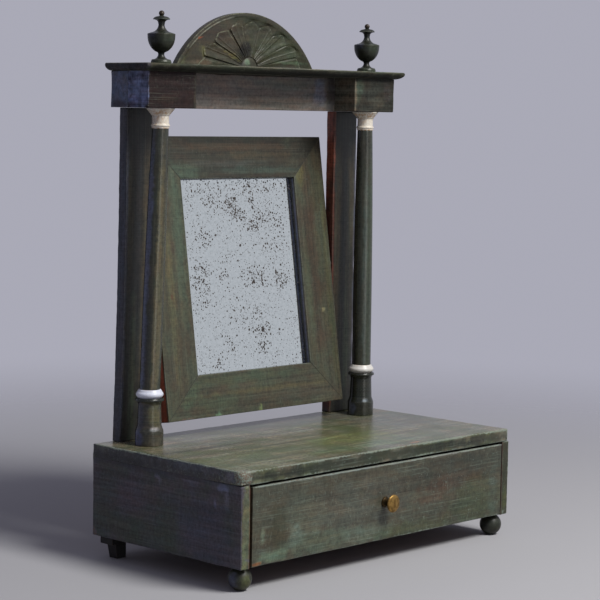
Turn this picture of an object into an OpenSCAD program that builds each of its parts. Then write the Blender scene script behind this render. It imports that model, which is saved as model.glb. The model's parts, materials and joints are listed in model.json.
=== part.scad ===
// Dressing table mirror: a drawer box on ball feet carries two posts and two turned columns
// under a moulded head, with a tilting mirror between the posts.
// Millimetres. X runs to the right, Y to the back, Z up. The origin is on the table top,
// under the middle of the whole object.

/* [Box] */
// Width of the box over its side boards
base_w = 390; // [350:1:460]
// Depth of the box from the drawer's face to the back board
base_d = 207; // [180:1:260]
// Height of the box without its feet
base_h = 90; // [76:1:130]
// Thickness of the top board
top_t = 13; // [11:0.5:18]
// How far the top board stops short of the right side board's face
top_short = 2; // [0:0.5:4]
// Thickness of the side boards
side_t = 11; // [9:0.5:15]
// Thickness of the back board
back_t = 9; // [6:0.5:14]
// Thickness of the bottom board
bottom_t = 8; // [5:0.5:12]

/* [Feet] */
// Height of the feet
foot_h = 22; // [18:0.5:30]
// Diameter of the front ball feet
ball_d = 22.5; // [19:0.5:28]
// Distance from the sides of the box to the axis of a ball foot
ball_in_x = 11.5; // [10:0.5:24]
// Distance from the drawer's face to the axis of a ball foot
ball_in_y = 12.5; // [10:0.5:24]
// Width of the plate on top of a back foot
plate_w = 18; // [15:0.5:26]
// Thickness of that plate
plate_t = 8; // [4:0.5:12]
// Width of the block below the plate
block_foot_w = 14; // [10:0.5:15]
// How far the block below the plate narrows towards the floor
block_foot_taper = 2; // [0:0.5:4]
// Distance from the outside of the box to the plate of a back foot
plate_in = 5.5; // [2:0.5:12]

/* [Drawer] */
// Thickness of the drawer front
front_t = 11; // [8:0.5:15]
// Gap between the top board and the drawer front
gap_top = 2.2; // [1:0.1:4]
// Gap between the left side board and the drawer front
gap_left = 3.3; // [0.6:0.1:4]
// Gap between the right side board and the drawer front
gap_right = 1; // [0.6:0.1:4]
// Thickness of the drawer's side and back boards
drawer_board_t = 7; // [6:0.5:10]
// Height of the drawer's sides above their lower edge
drawer_side_h = 58; // [40:1:60]
// Thickness of the drawer bottom
drawer_bottom_t = 4; // [3:0.5:5]
// Height of the drawer bottom above the lower edge of the sides
bottom_groove_up = 4; // [3:0.5:8]
// Depth of the grooves that hold the drawer bottom
groove_depth = 3; // [2:0.5:4]
// Gap behind the drawer when it is shut
gap_behind = 3; // [1:0.5:10]
// How far the drawer pulls out
drawer_travel = 150; // [60:5:160]

/* [Knob] */
// Diameter of the knob's head
knob_d = 17.8; // [14:0.2:24]
// How far the knob stands out from the drawer front
knob_reach = 13; // [10:0.5:18]
// Thickness of the knob's head
knob_head_t = 3; // [2:0.2:4]
// Diameter of the knob's screwed shank
shank_d = 4; // [3:0.5:5]
// Width of the square nut inside the drawer
nut_w = 9; // [8:0.5:12]
// Thickness of that nut
nut_t = 3; // [2:0.5:5]

/* [Posts and columns] */
// Gap between the mirror frame and a post
post_gap = 2.75; // [1:0.25:6]
// Gap between the mirror, when it hangs straight, and the box or the head
mirror_gap = 15; // [4:0.5:40]
// Width of a post
post_w = 35.5; // [26:0.5:44]
// Thickness of a post
post_t = 11.5; // [10:0.5:15]
// Height of the turned pedestal under a column
pedestal_h = 46; // [40:1:60]
// Diameter of the pedestal's drum
drum_d = 27.6; // [26:0.2:30]
// Height of the pedestal's drum
drum_h = 14.2; // [10:0.2:18]
// Diameter of the pedestal's waist
waist_d = 22.4; // [20:0.2:24]
// Diameter of the pedestal's rim
rim_d = 28; // [27:0.2:31]
// Height of the white ring on the pedestal
ring_h = 8.5; // [6:0.5:12]
// Diameter of the white ring
ring_d = 26.8; // [24:0.2:27]
// Diameter of the shaft at its foot
shaft_foot_d = 20.2; // [18:0.2:21]
// Diameter of the shaft at its top
shaft_top_d = 16; // [14:0.2:17]
// Height of the white capital
capital_h = 19.5; // [16:0.5:26]
// Diameter of the capital under the head
capital_d = 27.6; // [24:0.2:30]
// Diameter of the capital's neck
neck_d = 16.4; // [15:0.2:18]
// Diameter of the round tenons that hold a column together
tenon_d = 8; // [6:0.5:9]

/* [Head] */
// How far the frieze runs out past the axis of a column
head_past = 29; // [20:0.5:40]
// Height of the frieze
frieze_h = 35; // [28:0.5:45]
// Depth of the frieze beam
beam_d = 25; // [20:0.5:30]
// Width of an end block
block_w = 62; // [50:0.5:72]
// How far an end block stands in front of the beam
block_d = 29; // [28:0.5:40]
// Thickness of the cornice board
cornice_t = 7.5; // [7:0.5:10]
// How far the cornice stands out from the frieze
cornice_out = 8.5; // [4:0.5:12]
// Diameter of an urn at its lip
urn_d = 26.8; // [22:0.2:32]
// Height of an urn
urn_h = 50.6; // [44:0.2:60]
// Diameter of the dowel under an urn
urn_dowel_d = 5; // [4:0.5:8]

/* [Pediment] */
// Width of the pediment at its foot
pediment_w = 196; // [160:1:220]
// Height of the pediment
pediment_rise = 56; // [46:1:70]
// Thickness of the pediment board
pediment_t = 8; // [7:0.5:12]
// Width of the plain rim round the carving
rim_w = 8; // [6:0.5:12]
// Depth of the ground behind the flower
carve_depth = 2.4; // [1:0.1:3]
// Radius of the half-round boss
boss_r = 9.5; // [7:0.5:12]
// Petals in the half flower
petals = 9; // [7:1:11]

/* [Mirror] */
// Width of the mirror frame
mirror_w = 253; // [220:0.5:286]
// Height of the mirror frame
mirror_h = 284; // [230:1:340]
// Width of the upright members
stile_w = 44.8; // [36:0.2:50]
// Width of the cross members
rail_w = 43.2; // [36:0.2:50]
// Thickness of the mirror frame
frame_t = 13; // [12:0.5:16]
// How far the backing board lies inside the back of the frame
back_recess = 1; // [0.8:0.1:3]
// How far the frame laps over the glass
lap = 5; // [3:0.5:8]
// Thickness of the glass
glass_t = 2.5; // [2:0.1:4]
// Thickness of the board behind the glass
backing_t = 3; // [2:0.1:4]
// Lean of the mirror, with its top towards the back, in degrees
tilt = 8.5; // [0:0.5:20]
// Height of the pivots above the middle of the mirror
pivot_up = 6; // [0:0.5:12]
// Diameter of a pivot pin
pivot_d = 4; // [3:0.5:5]
// How deep a pivot pin sits in the post and in the mirror frame
pivot_depth = 12; // [8:0.5:16]
// Diameter of the washer on a pivot pin
washer_d = 9; // [7:0.5:11]
// Diameter of the brads that hold the backing board
brad_d = 1.2; // [1:0.1:1.6]
// Length of those brads
brad_l = 12; // [10:1:16]

/* [Clearances] */
// Clearance round a glued tenon, dowel or panel edge
fit = 0.1; // [0.05:0.05:0.2]
// Clearance round a pin that turns
running_fit = 0.05; // [0.02:0.01:0.1]
// Gap between pieces that slide past each other
slide_gap = 0.3; // [0.2:0.1:0.5]

/* [Hidden] */

$fn = 64;
BIG = 1000;
INTO = 1; // overlap of a cut with the open air

// The mirror fits between the posts, and between the box and the head
bay_x = mirror_w / 2 + post_gap + post_w / 2;
column_h = mirror_h + 2 * (pivot_up + mirror_gap);
head_w = 2 * (bay_x + head_past);

// Heights
box_z = foot_h;
deck_z = box_z + base_h;
under_top_z = deck_z - top_t;
head_z = deck_z + column_h;
cornice_z = head_z + frieze_h;
crown_z = cornice_z + cornice_t;

// Depths: the mirror's top edge leans out behind the box
pivot_from_back = post_t / 2;
mirror_up = mirror_h / 2 - pivot_up;
lean_out = max(0, mirror_up * sin(tilt) + frame_t / 2 * cos(tilt) - pivot_from_back);
whole_d = knob_reach + base_d + lean_out;
front_y = knob_reach - whole_d / 2;
back_y = front_y + base_d;
post_y = back_y - pivot_from_back;
beam_y = back_y - beam_d;
column_y = beam_y - block_d / 2;
block_y = beam_y - block_d;

// Drawer
inner_x = base_w / 2 - side_t;
drawer_x0 = -inner_x + gap_left;
drawer_x1 = inner_x - gap_right;
drawer_w = drawer_x1 - drawer_x0;
knob_x = (drawer_x0 + drawer_x1) / 2;
drawer_back_y = back_y - back_t - gap_behind;
drawer_z = box_z + bottom_t + slide_gap;
front_z = box_z + 2 * slide_gap;
front_top_z = under_top_z - gap_top;
knob_z = (front_z + front_top_z) / 2;
drawer_sides_h = min(drawer_side_h, front_top_z - drawer_z - slide_gap);
panel_z = drawer_z + bottom_groove_up;
knob_base_d = knob_d * 0.6;

// Tenons
tenon_h = top_t * 0.6;
post_tenon_w = post_w * 0.6;
post_tenon_t = post_t * 0.5;
column_tenon_h = 20;
block_tenon_h = 10;
urn_dowel_h = cornice_t - 2;

// Mirror, in its own frame: X to the right, Y into the thickness, Z up, pivots on X
pivot_z = deck_z + column_h / 2;
face_y = -frame_t / 2;
lip_t = frame_t - glass_t - backing_t - back_recess;
glass_y = face_y + lip_t;
backing_y = glass_y + glass_t;
mirror_mid_z = -pivot_up;
sight_w = mirror_w - 2 * stile_w;
sight_h = mirror_h - 2 * rail_w;
rebate_w = sight_w + 2 * lap;
rebate_h = sight_h + 2 * lap;

// Points of an elliptical arc in the half plane that a profile lies in
function arc(centre, radii, from, to, steps = 8) =
    [for (i = [0:steps]) let (a = from + (to - from) * i / steps)
        [centre[0] + radii[0] * cos(a), centre[1] + radii[1] * sin(a)]];

module board(low, high) {
    translate(low) cube(high - low);
}

module both_sides(side) {
    if (side < 0) mirror([1, 0, 0]) children();
    else children();
}

// Box

module column_holes(z, depth) {
    for (side = [-1, 1])
        translate([side * bay_x, column_y, z]) cylinder(d = tenon_d + 2 * fit, h = depth);
}

module post_mortises(z, depth) {
    for (side = [-1, 1])
        translate([side * bay_x - post_tenon_w / 2 - fit, post_y - post_tenon_t / 2 - fit, z])
            cube([post_tenon_w + 2 * fit, post_tenon_t + 2 * fit, depth]);
}

module base_top() {
    color("darkslategray") difference() {
        board([-base_w / 2, front_y, under_top_z], [base_w / 2 - top_short, back_y, deck_z]);
        column_holes(deck_z - tenon_h - fit, tenon_h + fit + INTO);
        post_mortises(deck_z - tenon_h - fit, tenon_h + fit + INTO);
    }
}

module base_side(side) {
    color("darkslategray") both_sides(side)
        board([inner_x, front_y, box_z], [base_w / 2, back_y, under_top_z]);
}

module base_back() {
    color("saddlebrown") board([-inner_x, back_y - back_t, box_z], [inner_x, back_y, under_top_z]);
}

module base_bottom() {
    color("saddlebrown")
        board([-inner_x, front_y + front_t + slide_gap, box_z],
              [inner_x, back_y - back_t, box_z + bottom_t]);
}

// A turned ball, cut flat where it stands and where it is glued to the box
module foot_front(side) {
    flat = 0.25;
    color("darkslategray")
        translate([side * (base_w / 2 - ball_in_x), front_y + ball_in_y, 0])
            rotate_extrude() intersection() {
                square([ball_d, foot_h]);
                polygon(arc([0, foot_h / 2], [ball_d / 2, foot_h / 2 + flat], -90, 90, 24));
            }
}

// A stepped block whose outer faces draw in below the plate
module foot_back(side) {
    inner = plate_in + plate_w;
    step = inner - block_foot_w;
    module outline(top, bottom) {
        polygon([[bottom, 0], [inner, 0], [inner, foot_h - plate_t], [top, foot_h - plate_t]]);
    }
    color("black") both_sides(side) {
        board([base_w / 2 - inner, back_y - inner, foot_h - plate_t],
              [base_w / 2 - plate_in, back_y - plate_in, foot_h]);
        intersection() {
            translate([base_w / 2, back_y, 0]) rotate([90, 0, 0]) mirror([1, 0, 0])
                linear_extrude(BIG) outline(step, step + block_foot_taper);
            translate([0, back_y, 0]) rotate([90, 0, 90])
                linear_extrude(BIG) mirror([1, 0, 0]) outline(step, step + block_foot_taper);
        }
    }
}

// Drawer

module drawer_panel_space(clear) {
    board([drawer_x0 + drawer_board_t - groove_depth - clear,
           front_y + front_t - groove_depth - clear, panel_z - clear],
          [drawer_x1 - drawer_board_t + groove_depth + clear,
           drawer_back_y + INTO * sign(clear), panel_z + drawer_bottom_t + clear]);
}

module drawer_front() {
    color("darkslategray") difference() {
        board([drawer_x0, front_y, front_z], [drawer_x1, front_y + front_t, front_top_z]);
        drawer_panel_space(fit);
        translate([knob_x, front_y - INTO, knob_z]) rotate([-90, 0, 0])
            cylinder(d = shank_d + 2 * fit, h = front_t + 2 * INTO);
    }
}

module drawer_side(side) {
    x0 = side < 0 ? drawer_x0 : drawer_x1 - drawer_board_t;
    color("peru") difference() {
        board([x0, front_y + front_t, drawer_z],
              [x0 + drawer_board_t, drawer_back_y, drawer_z + drawer_sides_h]);
        drawer_panel_space(fit);
    }
}

// The back stands on the panel, which slides in under it
module drawer_back() {
    color("peru")
        board([drawer_x0 + drawer_board_t, drawer_back_y - drawer_board_t,
               panel_z + drawer_bottom_t],
              [drawer_x1 - drawer_board_t, drawer_back_y, drawer_z + drawer_sides_h]);
}

module drawer_bottom() {
    color("burlywood") drawer_panel_space(0);
}

module drawer_knob() {
    head_y = knob_reach - knob_head_t;
    stem_d = knob_d * 0.36;
    color("goldenrod") translate([knob_x, front_y, knob_z]) rotate([90, 0, 0]) {
        rotate_extrude() polygon(concat(
            [[0, 0], [knob_base_d / 2, 0], [knob_base_d / 2, 0.8]],
            arc([knob_base_d / 2, head_y / 2 + 0.4],
                [(knob_base_d - stem_d) / 2, head_y / 2 - 0.4], 270, 90, 12),
            [[knob_d / 2 - 0.6, head_y], [knob_d / 2, head_y + 0.6],
             [knob_d / 2, knob_reach - 0.8]],
            arc([0, knob_reach - 0.8], [knob_d / 2 - 0.6, 0.8], 0, 90, 6)));
        translate([0, 0, -front_t - nut_t - INTO]) cylinder(d = shank_d, h = front_t + nut_t + 2 * INTO);
    }
}

module drawer_knob_nut() {
    color("goldenrod") translate([knob_x, front_y + front_t, knob_z]) rotate([-90, 0, 0])
        difference() {
            translate([-nut_w / 2, -nut_w / 2, 0]) cube([nut_w, nut_w, nut_t]);
            translate([0, 0, -INTO]) cylinder(d = shank_d + 2 * fit, h = nut_t + 2 * INTO);
        }
}

// Posts and columns

module post(side) {
    x = bay_x - post_w / 2;
    color("darkslategray") both_sides(side) difference() {
        union() {
            board([x, back_y - post_t, deck_z], [x + post_w, back_y, head_z]);
            translate([bay_x - post_tenon_w / 2, post_y - post_tenon_t / 2, deck_z - tenon_h])
                cube([post_tenon_w, post_tenon_t, column_h + 2 * tenon_h]);
        }
        translate([x - INTO, post_y, pivot_z]) rotate([0, 90, 0])
            cylinder(d = pivot_d + 2 * running_fit, h = pivot_depth + slide_gap + INTO);
    }
}

module at_column(side, z) {
    translate([side * bay_x, column_y, z]) children();
}

module pedestal(side) {
    bevel_top = drum_h + 5.3;
    cove_z = pedestal_h * 0.78;
    rim_z = pedestal_h - 2.5;
    color("darkslategray") at_column(side, deck_z) difference() {
        union() {
            rotate_extrude() polygon(concat(
                [[0, 0], [drum_d / 2, 0], [drum_d / 2, drum_h], [waist_d / 2 + 0.7, bevel_top]],
                arc([rim_d / 2, cove_z], [(rim_d - waist_d) / 2, rim_z - cove_z], 180, 90),
                [[rim_d / 2, pedestal_h - 0.8], [rim_d / 2 - 0.6, pedestal_h], [0, pedestal_h]]));
            translate([0, 0, -tenon_h]) cylinder(d = tenon_d, h = tenon_h + INTO);
        }
        translate([0, 0, pedestal_h - column_tenon_h - fit])
            cylinder(d = tenon_d + 2 * fit, h = column_tenon_h + fit + INTO);
    }
}

module ring(side) {
    hole = tenon_d / 2 + fit;
    collar = shaft_foot_d / 2 + 0.8;
    color("ivory") at_column(side, deck_z + pedestal_h)
        rotate_extrude() polygon(concat(
            [[hole, 0], [ring_d / 2 - 0.4, 0], [ring_d / 2, 0.6]],
            arc([collar, 1.8], [ring_d / 2 - collar, ring_h - 1.8], 0, 90),
            [[collar, ring_h], [hole, ring_h]]));
}

// The shaft swells quickly below the capital and then hardly at all
module shaft(side) {
    length = column_h - pedestal_h - ring_h - capital_h;
    steps = 12;
    function swell(s) = shaft_foot_d / 2 + (shaft_top_d - shaft_foot_d) / 2 * pow(s, 3);
    color("darkslategray") at_column(side, deck_z + pedestal_h + ring_h) {
        rotate_extrude() polygon(concat(
            [[0, 0]],
            [for (i = [0:steps]) [swell(i / steps), length * i / steps]],
            [[0, length]]));
        translate([0, 0, -ring_h - column_tenon_h])
            cylinder(d = tenon_d, h = ring_h + column_tenon_h + INTO);
        translate([0, 0, length - INTO])
            cylinder(d = tenon_d, h = capital_h + block_tenon_h + INTO);
    }
}

module capital(side) {
    hole = tenon_d / 2 + fit;
    neck = neck_d / 2;
    lip = capital_d / 2;
    step = (neck + lip) / 2;
    color("ivory") at_column(side, head_z - capital_h)
        rotate_extrude() polygon(concat(
            [[hole, 0], [neck + 0.3, 0], [neck + 0.3, 1.6], [neck + 1, 2.2], [neck + 1, 3.4],
             [neck + 0.3, 4.1], [neck, 5]],
            arc([step, capital_h * 0.5], [step - neck, capital_h * 0.2], 180, 90),
            [[step + 0.3, capital_h * 0.74]],
            arc([lip, capital_h * 0.74], [lip - step - 0.3, capital_h * 0.2], 180, 90),
            [[lip, capital_h], [hole, capital_h]]));
}

// Head

module frieze_beam() {
    color("darkslategray") difference() {
        board([-head_w / 2, beam_y, head_z], [head_w / 2, back_y, cornice_z]);
        post_mortises(head_z - INTO, tenon_h + fit + INTO);
    }
}

module frieze_block(side) {
    color("darkslategray") difference() {
        both_sides(side)
            board([head_w / 2 - block_w, block_y, head_z], [head_w / 2, beam_y, cornice_z]);
        column_holes(head_z - INTO, block_tenon_h + fit + INTO);
    }
}

// A board whose front and ends are rounded over above and swept in below
module cornice() {
    out_x = head_w / 2 + cornice_out;
    out_y = back_y - block_y + cornice_out;
    nose = 1.8;
    sweep = cornice_out + 1;
    function nosing(reach) = concat(
        arc([reach - sweep, cornice_t - nose], [sweep, cornice_t - nose], 270, 360),
        arc([reach - nose, cornice_t - nose], [nose, nose], 0, 90, 4));
    end = nosing(out_x);
    color("darkslategray") translate([0, 0, cornice_z]) difference() {
        intersection() {
            rotate([90, 0, 0]) linear_extrude(BIG, center = true)
                polygon(concat(end, [for (i = [len(end) - 1:-1:0]) [-end[i][0], end[i][1]]]));
            translate([0, back_y, 0]) rotate([90, 0, -90]) linear_extrude(BIG, center = true)
                polygon(concat([[0, 0]], nosing(out_y), [[0, cornice_t]]));
        }
        for (side = [-1, 1])
            translate([side * bay_x, column_y, cornice_t - urn_dowel_h - fit])
                cylinder(d = urn_dowel_d + 2 * fit, h = urn_dowel_h + fit + INTO);
    }
}

module urn(side) {
    r = urn_d / 2;
    h = urn_h;
    ball_r = h * 0.052;
    color("darkslategray") at_column(side, crown_z) {
        rotate_extrude() polygon(concat(
            [[0, 0], [r * 0.74, 0], [r * 0.75, h * 0.03], [r * 0.69, h * 0.07]],
            arc([r * 0.62, h * 0.18], [r * 0.4, h * 0.1], 270, 180, 6),
            arc([0, h * 0.51], [r * 0.99, h * 0.31], 285, 360, 10),
            [[r, h * 0.545], [r, h * 0.575], [r * 0.95, h * 0.59]],
            arc([r * 0.95, h * 0.77], [r * 0.7, h * 0.17], 265, 190, 8),
            [[r * 0.24, h * 0.79], [r * 0.57, h * 0.825], [r * 0.58, h * 0.84],
             [r * 0.42, h * 0.87], [r * 0.2, h * 0.893]],
            arc([0, h - ball_r], [ball_r, ball_r], -50, 90, 8)));
        translate([0, 0, -urn_dowel_h]) cylinder(d = urn_dowel_d, h = urn_dowel_h + INTO);
    }
}

// Pediment: a round-headed board, carved with half a daisy of dished petals round a boss.
// The carved face is a fan of spokes from the middle of the foot. Each spoke carries the same
// stations, from the boss along a petal to its tip, down to the ground and up onto the rim.
module pediment() {
    crown_r = (pow(pediment_w / 2, 2) + pow(pediment_rise, 2)) / (2 * pediment_rise);
    sunk = crown_r - pediment_rise;
    reach_x = sqrt(pow(crown_r - rim_w, 2) - sunk * sunk) * 0.92;
    reach_z = (pediment_rise - rim_w) * 0.93;
    steps = 8;
    spokes = petals * steps;
    wall = 0.6;
    boss_stations = [0.45, 0.8, 1];
    petal_stations = [0, 0.15, 0.35, 0.6, 0.85, 1];
    stations = len(boss_stations) + len(petal_stations) + 4;

    function turn(i) = 180 * i / spokes;
    function way(i) = atan2(reach_z * sin(turn(i)), reach_x * cos(turn(i)));
    function across(i) = 2 * (i % steps) / steps - 1;
    function arch(a, r) = sqrt(r * r - pow(sunk * cos(a), 2)) - sunk * sin(a);
    function tip(i) = norm([reach_x * cos(turn(i)), reach_z * sin(turn(i))])
        * (1 - 0.12 * pow(abs(across(i)), 2.5));
    function dish(i) = abs(across(i)) > 0.9 ? 0.8 : 0.25 + 0.35 * (1 - pow(across(i), 2));
    // [distance from the middle of the foot, depth below the rim] along spoke i
    function spoke(i) = let (a = way(i), edge = arch(a, crown_r), inside = arch(a, crown_r - rim_w))
        concat(
            [for (s = boss_stations) [boss_r * s, carve_depth * (0.75 * s * s)]],
            [for (s = petal_stations) [boss_r + 0.5 + (tip(i) - boss_r - 0.5) * s,
                                       carve_depth * (dish(i) + 0.3 * (1 - s))]],
            [[tip(i) + wall, carve_depth], [inside - wall, carve_depth], [inside, 0], [edge, 0]]);
    function point(i, station) = [station[0] * cos(way(i)), station[1], station[0] * sin(way(i))];

    rows = [for (i = [0:spokes]) spoke(i)];
    front = [for (i = [0:spokes]) for (s = rows[i]) point(i, s)];
    hub = len(front);
    arch_back = hub + 1;
    foot_back = arch_back + spokes + 1;
    hub_back = foot_back + 2 * (stations - 1);
    middle_back = hub_back + 1;
    function flat(p) = [p[0], pediment_t, p[2]];
    function at(i, j) = i * stations + j;
    points = concat(
        front, [[0, 0, 0]],
        [for (i = [0:spokes]) flat(front[at(i, stations - 1)])],
        [for (end = [0, 1]) for (j = [0:stations - 2]) flat(front[at(end * spokes, j)])],
        [[0, pediment_t, 0], [0, pediment_t, pediment_rise / 2]]);
    function behind(end, j) = j < 0 ? hub_back
        : j == stations - 1 ? arch_back + end * spokes
        : foot_back + end * (stations - 1) + j;
    function before(end, j) = j < 0 ? hub : at(end * spokes, j);
    faces = concat(
        [for (i = [0:spokes - 1]) for (j = [0:stations - 2])
            each [[at(i, j), at(i, j + 1), at(i + 1, j + 1)], [at(i, j), at(i + 1, j + 1), at(i + 1, j)]]],
        [for (i = [0:spokes - 1]) [hub, at(i, 0), at(i + 1, 0)]],
        [for (i = [0:spokes - 1])
            each [[at(i, stations - 1), arch_back + i, arch_back + i + 1],
                  [at(i, stations - 1), arch_back + i + 1, at(i + 1, stations - 1)]]],
        [for (j = [-1:stations - 2])
            each [[before(0, j), behind(0, j), behind(0, j + 1)],
                  [before(0, j), behind(0, j + 1), before(0, j + 1)],
                  [before(1, j), behind(1, j + 1), behind(1, j)],
                  [before(1, j), before(1, j + 1), behind(1, j + 1)]]],
        [for (i = [0:spokes - 1]) [middle_back, arch_back + i + 1, arch_back + i]],
        [for (j = [-1:stations - 2])
            each [[middle_back, behind(0, j + 1), behind(0, j)],
                  [middle_back, behind(1, j), behind(1, j + 1)]]]);
    color("darkolivegreen") translate([0, back_y - pediment_t, crown_z])
        polyhedron(points, [for (f = faces) [f[0], f[2], f[1]]]);
}

// Mirror

module hung() {
    translate([0, post_y, pivot_z]) rotate([-tilt, 0, 0]) children();
}

// One mitred member: the lip that shows, and behind it the wood outside the rebate.
// length and width are the frame's along and across the member.
module member(length, width, member_w) {
    module layer(depth, w, y) {
        translate([0, y, 0]) rotate([90, 0, 0]) translate([0, 0, -depth]) linear_extrude(depth)
            polygon([[-length / 2, width / 2], [length / 2, width / 2],
                     [length / 2 - w[0], width / 2 - w[1]], [w[0] - length / 2, width / 2 - w[1]]]);
    }
    layer(lip_t, member_w, face_y);
    layer(frame_t - lip_t, member_w - [lap, lap], glass_y);
}

// Brads lie on the backing board and run into the wood round it
module brad_rods(d) {
    y = backing_y + backing_t + d / 2 + (brad_d - d) / 2;
    for (side = [-1, 1]) {
        for (z = [-rebate_h / 3, rebate_h / 3])
            translate([side * rebate_w / 2, y, mirror_mid_z + z]) rotate([0, 90, 0])
                cylinder(d = d, h = brad_l, center = true);
        for (x = [-rebate_w / 4, rebate_w / 4])
            translate([x, y, mirror_mid_z + side * rebate_h / 2])
                cylinder(d = d, h = brad_l, center = true);
    }
}

module mirror_rail(side) {
    color("darkslategray") hung() difference() {
        translate([0, 0, mirror_mid_z]) mirror([0, 0, side < 0 ? 1 : 0])
            member(mirror_w, mirror_h, [stile_w, rail_w]);
        brad_rods(brad_d + 2 * running_fit);
    }
}

module mirror_stile(side) {
    color("darkslategray") hung() difference() {
        translate([0, 0, mirror_mid_z]) rotate([0, side * 90, 0])
            member(mirror_h, mirror_w, [rail_w, stile_w]);
        brad_rods(brad_d + 2 * running_fit);
        translate([side * mirror_w / 2, 0, 0]) rotate([0, 90, 0])
            cylinder(d = pivot_d + 2 * running_fit, h = 2 * (pivot_depth + fit), center = true);
    }
}

module sheet_in_rebate(y, thickness) {
    translate([-rebate_w / 2 + fit, y, mirror_mid_z - rebate_h / 2 + fit])
        cube([rebate_w - 2 * fit, thickness, rebate_h - 2 * fit]);
}

module mirror_glass() {
    color("lightsteelblue") hung() sheet_in_rebate(glass_y, glass_t);
}

module mirror_backing() {
    color("saddlebrown") hung() sheet_in_rebate(backing_y, backing_t);
}

module mirror_brads() {
    color("gray") hung() brad_rods(brad_d);
}

// A pin with a washer turned on it, which keeps the frame off the post
module pivot_pin(side) {
    color("gray") hung() both_sides(side) translate([mirror_w / 2, 0, 0]) rotate([0, 90, 0]) {
        translate([0, 0, -pivot_depth]) cylinder(d = pivot_d, h = 2 * pivot_depth + post_gap);
        cylinder(d = washer_d, h = post_gap - slide_gap);
    }
}

base_top();
base_side(-1);  // base_side_left
base_side(1);  // base_side_right
base_back();
base_bottom();
foot_front(-1);  // foot_front_left
foot_front(1);  // foot_front_right
foot_back(-1);  // foot_back_left
foot_back(1);  // foot_back_right
drawer_front();
drawer_side(-1);  // drawer_side_left
drawer_side(1);  // drawer_side_right
drawer_back();
drawer_bottom();
drawer_knob();
drawer_knob_nut();
post(-1);  // post_left
post(1);  // post_right
pedestal(-1);  // pedestal_left
pedestal(1);  // pedestal_right
ring(-1);  // ring_left
ring(1);  // ring_right
shaft(-1);  // shaft_left
shaft(1);  // shaft_right
capital(-1);  // capital_left
capital(1);  // capital_right
frieze_beam();
frieze_block(-1);  // frieze_block_left
frieze_block(1);  // frieze_block_right
cornice();
pediment();
urn(-1);  // urn_left
urn(1);  // urn_right
mirror_rail(1);  // mirror_top_rail
mirror_rail(-1);  // mirror_bottom_rail
mirror_stile(-1);  // mirror_stile_left
mirror_stile(1);  // mirror_stile_right
mirror_glass();
mirror_backing();
mirror_brads();
pivot_pin(-1);  // pivot_pin_left
pivot_pin(1);  // pivot_pin_right
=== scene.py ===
# %% [markdown]
# # A dressing table mirror, painted grey-green long ago
# A low box with one drawer stands on ball feet. Two posts and two turned columns rise from it and carry
# a moulded head with urns and a carved half daisy, and a framed looking glass tilts between the posts.
# The construction is already packed. This notebook gives every board, turning and carving its
# real surface: softened arrises, hand-planed waves, brush marks, chips and the foxed silvering.

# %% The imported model
import json
import math
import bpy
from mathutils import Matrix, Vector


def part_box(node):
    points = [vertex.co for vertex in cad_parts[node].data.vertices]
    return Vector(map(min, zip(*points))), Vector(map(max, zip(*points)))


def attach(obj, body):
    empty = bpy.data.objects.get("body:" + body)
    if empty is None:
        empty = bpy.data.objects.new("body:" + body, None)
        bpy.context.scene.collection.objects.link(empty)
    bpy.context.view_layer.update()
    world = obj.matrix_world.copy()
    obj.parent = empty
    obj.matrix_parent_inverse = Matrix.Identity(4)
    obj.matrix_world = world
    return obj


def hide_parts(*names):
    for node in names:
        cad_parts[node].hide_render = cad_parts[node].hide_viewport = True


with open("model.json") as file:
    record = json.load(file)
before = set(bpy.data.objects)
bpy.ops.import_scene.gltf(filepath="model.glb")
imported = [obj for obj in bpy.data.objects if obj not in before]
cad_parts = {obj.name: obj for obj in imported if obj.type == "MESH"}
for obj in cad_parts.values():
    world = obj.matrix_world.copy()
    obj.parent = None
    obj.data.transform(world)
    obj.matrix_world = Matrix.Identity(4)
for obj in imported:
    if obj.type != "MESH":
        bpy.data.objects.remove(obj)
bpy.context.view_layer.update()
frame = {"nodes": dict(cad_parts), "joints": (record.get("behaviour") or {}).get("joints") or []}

import zlib

import bmesh
import bpy
import numpy as np
from mathutils import Matrix, Vector

MM = 0.001


def corners(node):
    """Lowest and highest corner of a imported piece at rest, in millimetres."""
    low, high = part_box(node)
    return np.array(low) / MM, np.array(high) / MM


deck_z = corners("base_top")[1][2]
head_z = corners("frieze_beam")[0][2]
crown_z = corners("cornice")[1][2]
back_y = corners("base_back")[1][1]
print(f"packed model: {len(frame['nodes'])} nodes, deck at {deck_z:.1f} mm, head at {head_z:.1f} mm")

# %% [markdown]
# ## Camera
# The photograph was taken from the left of the piece, from about the height of its head, with a long
# lens. A camera is a place, a direction and a lens. It could be moved by hand until the picture fits, but
# then nobody can tell what its numbers mean. Here its place is worked out from the direction and the
# distance to a point near the middle of the piece, so each number below says something by itself.

# %% Camera
VIEW_AZIMUTH = math.radians(-46.197)
VIEW_ELEVATION = math.radians(5.378)
VIEW_ROLL = math.radians(1.002)
VIEW_DISTANCE = 1.9818
VIEW_TARGET = Vector((-0.00732, 0.00401, 0.24924))
FOCAL_LENGTH = 118.74


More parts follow.
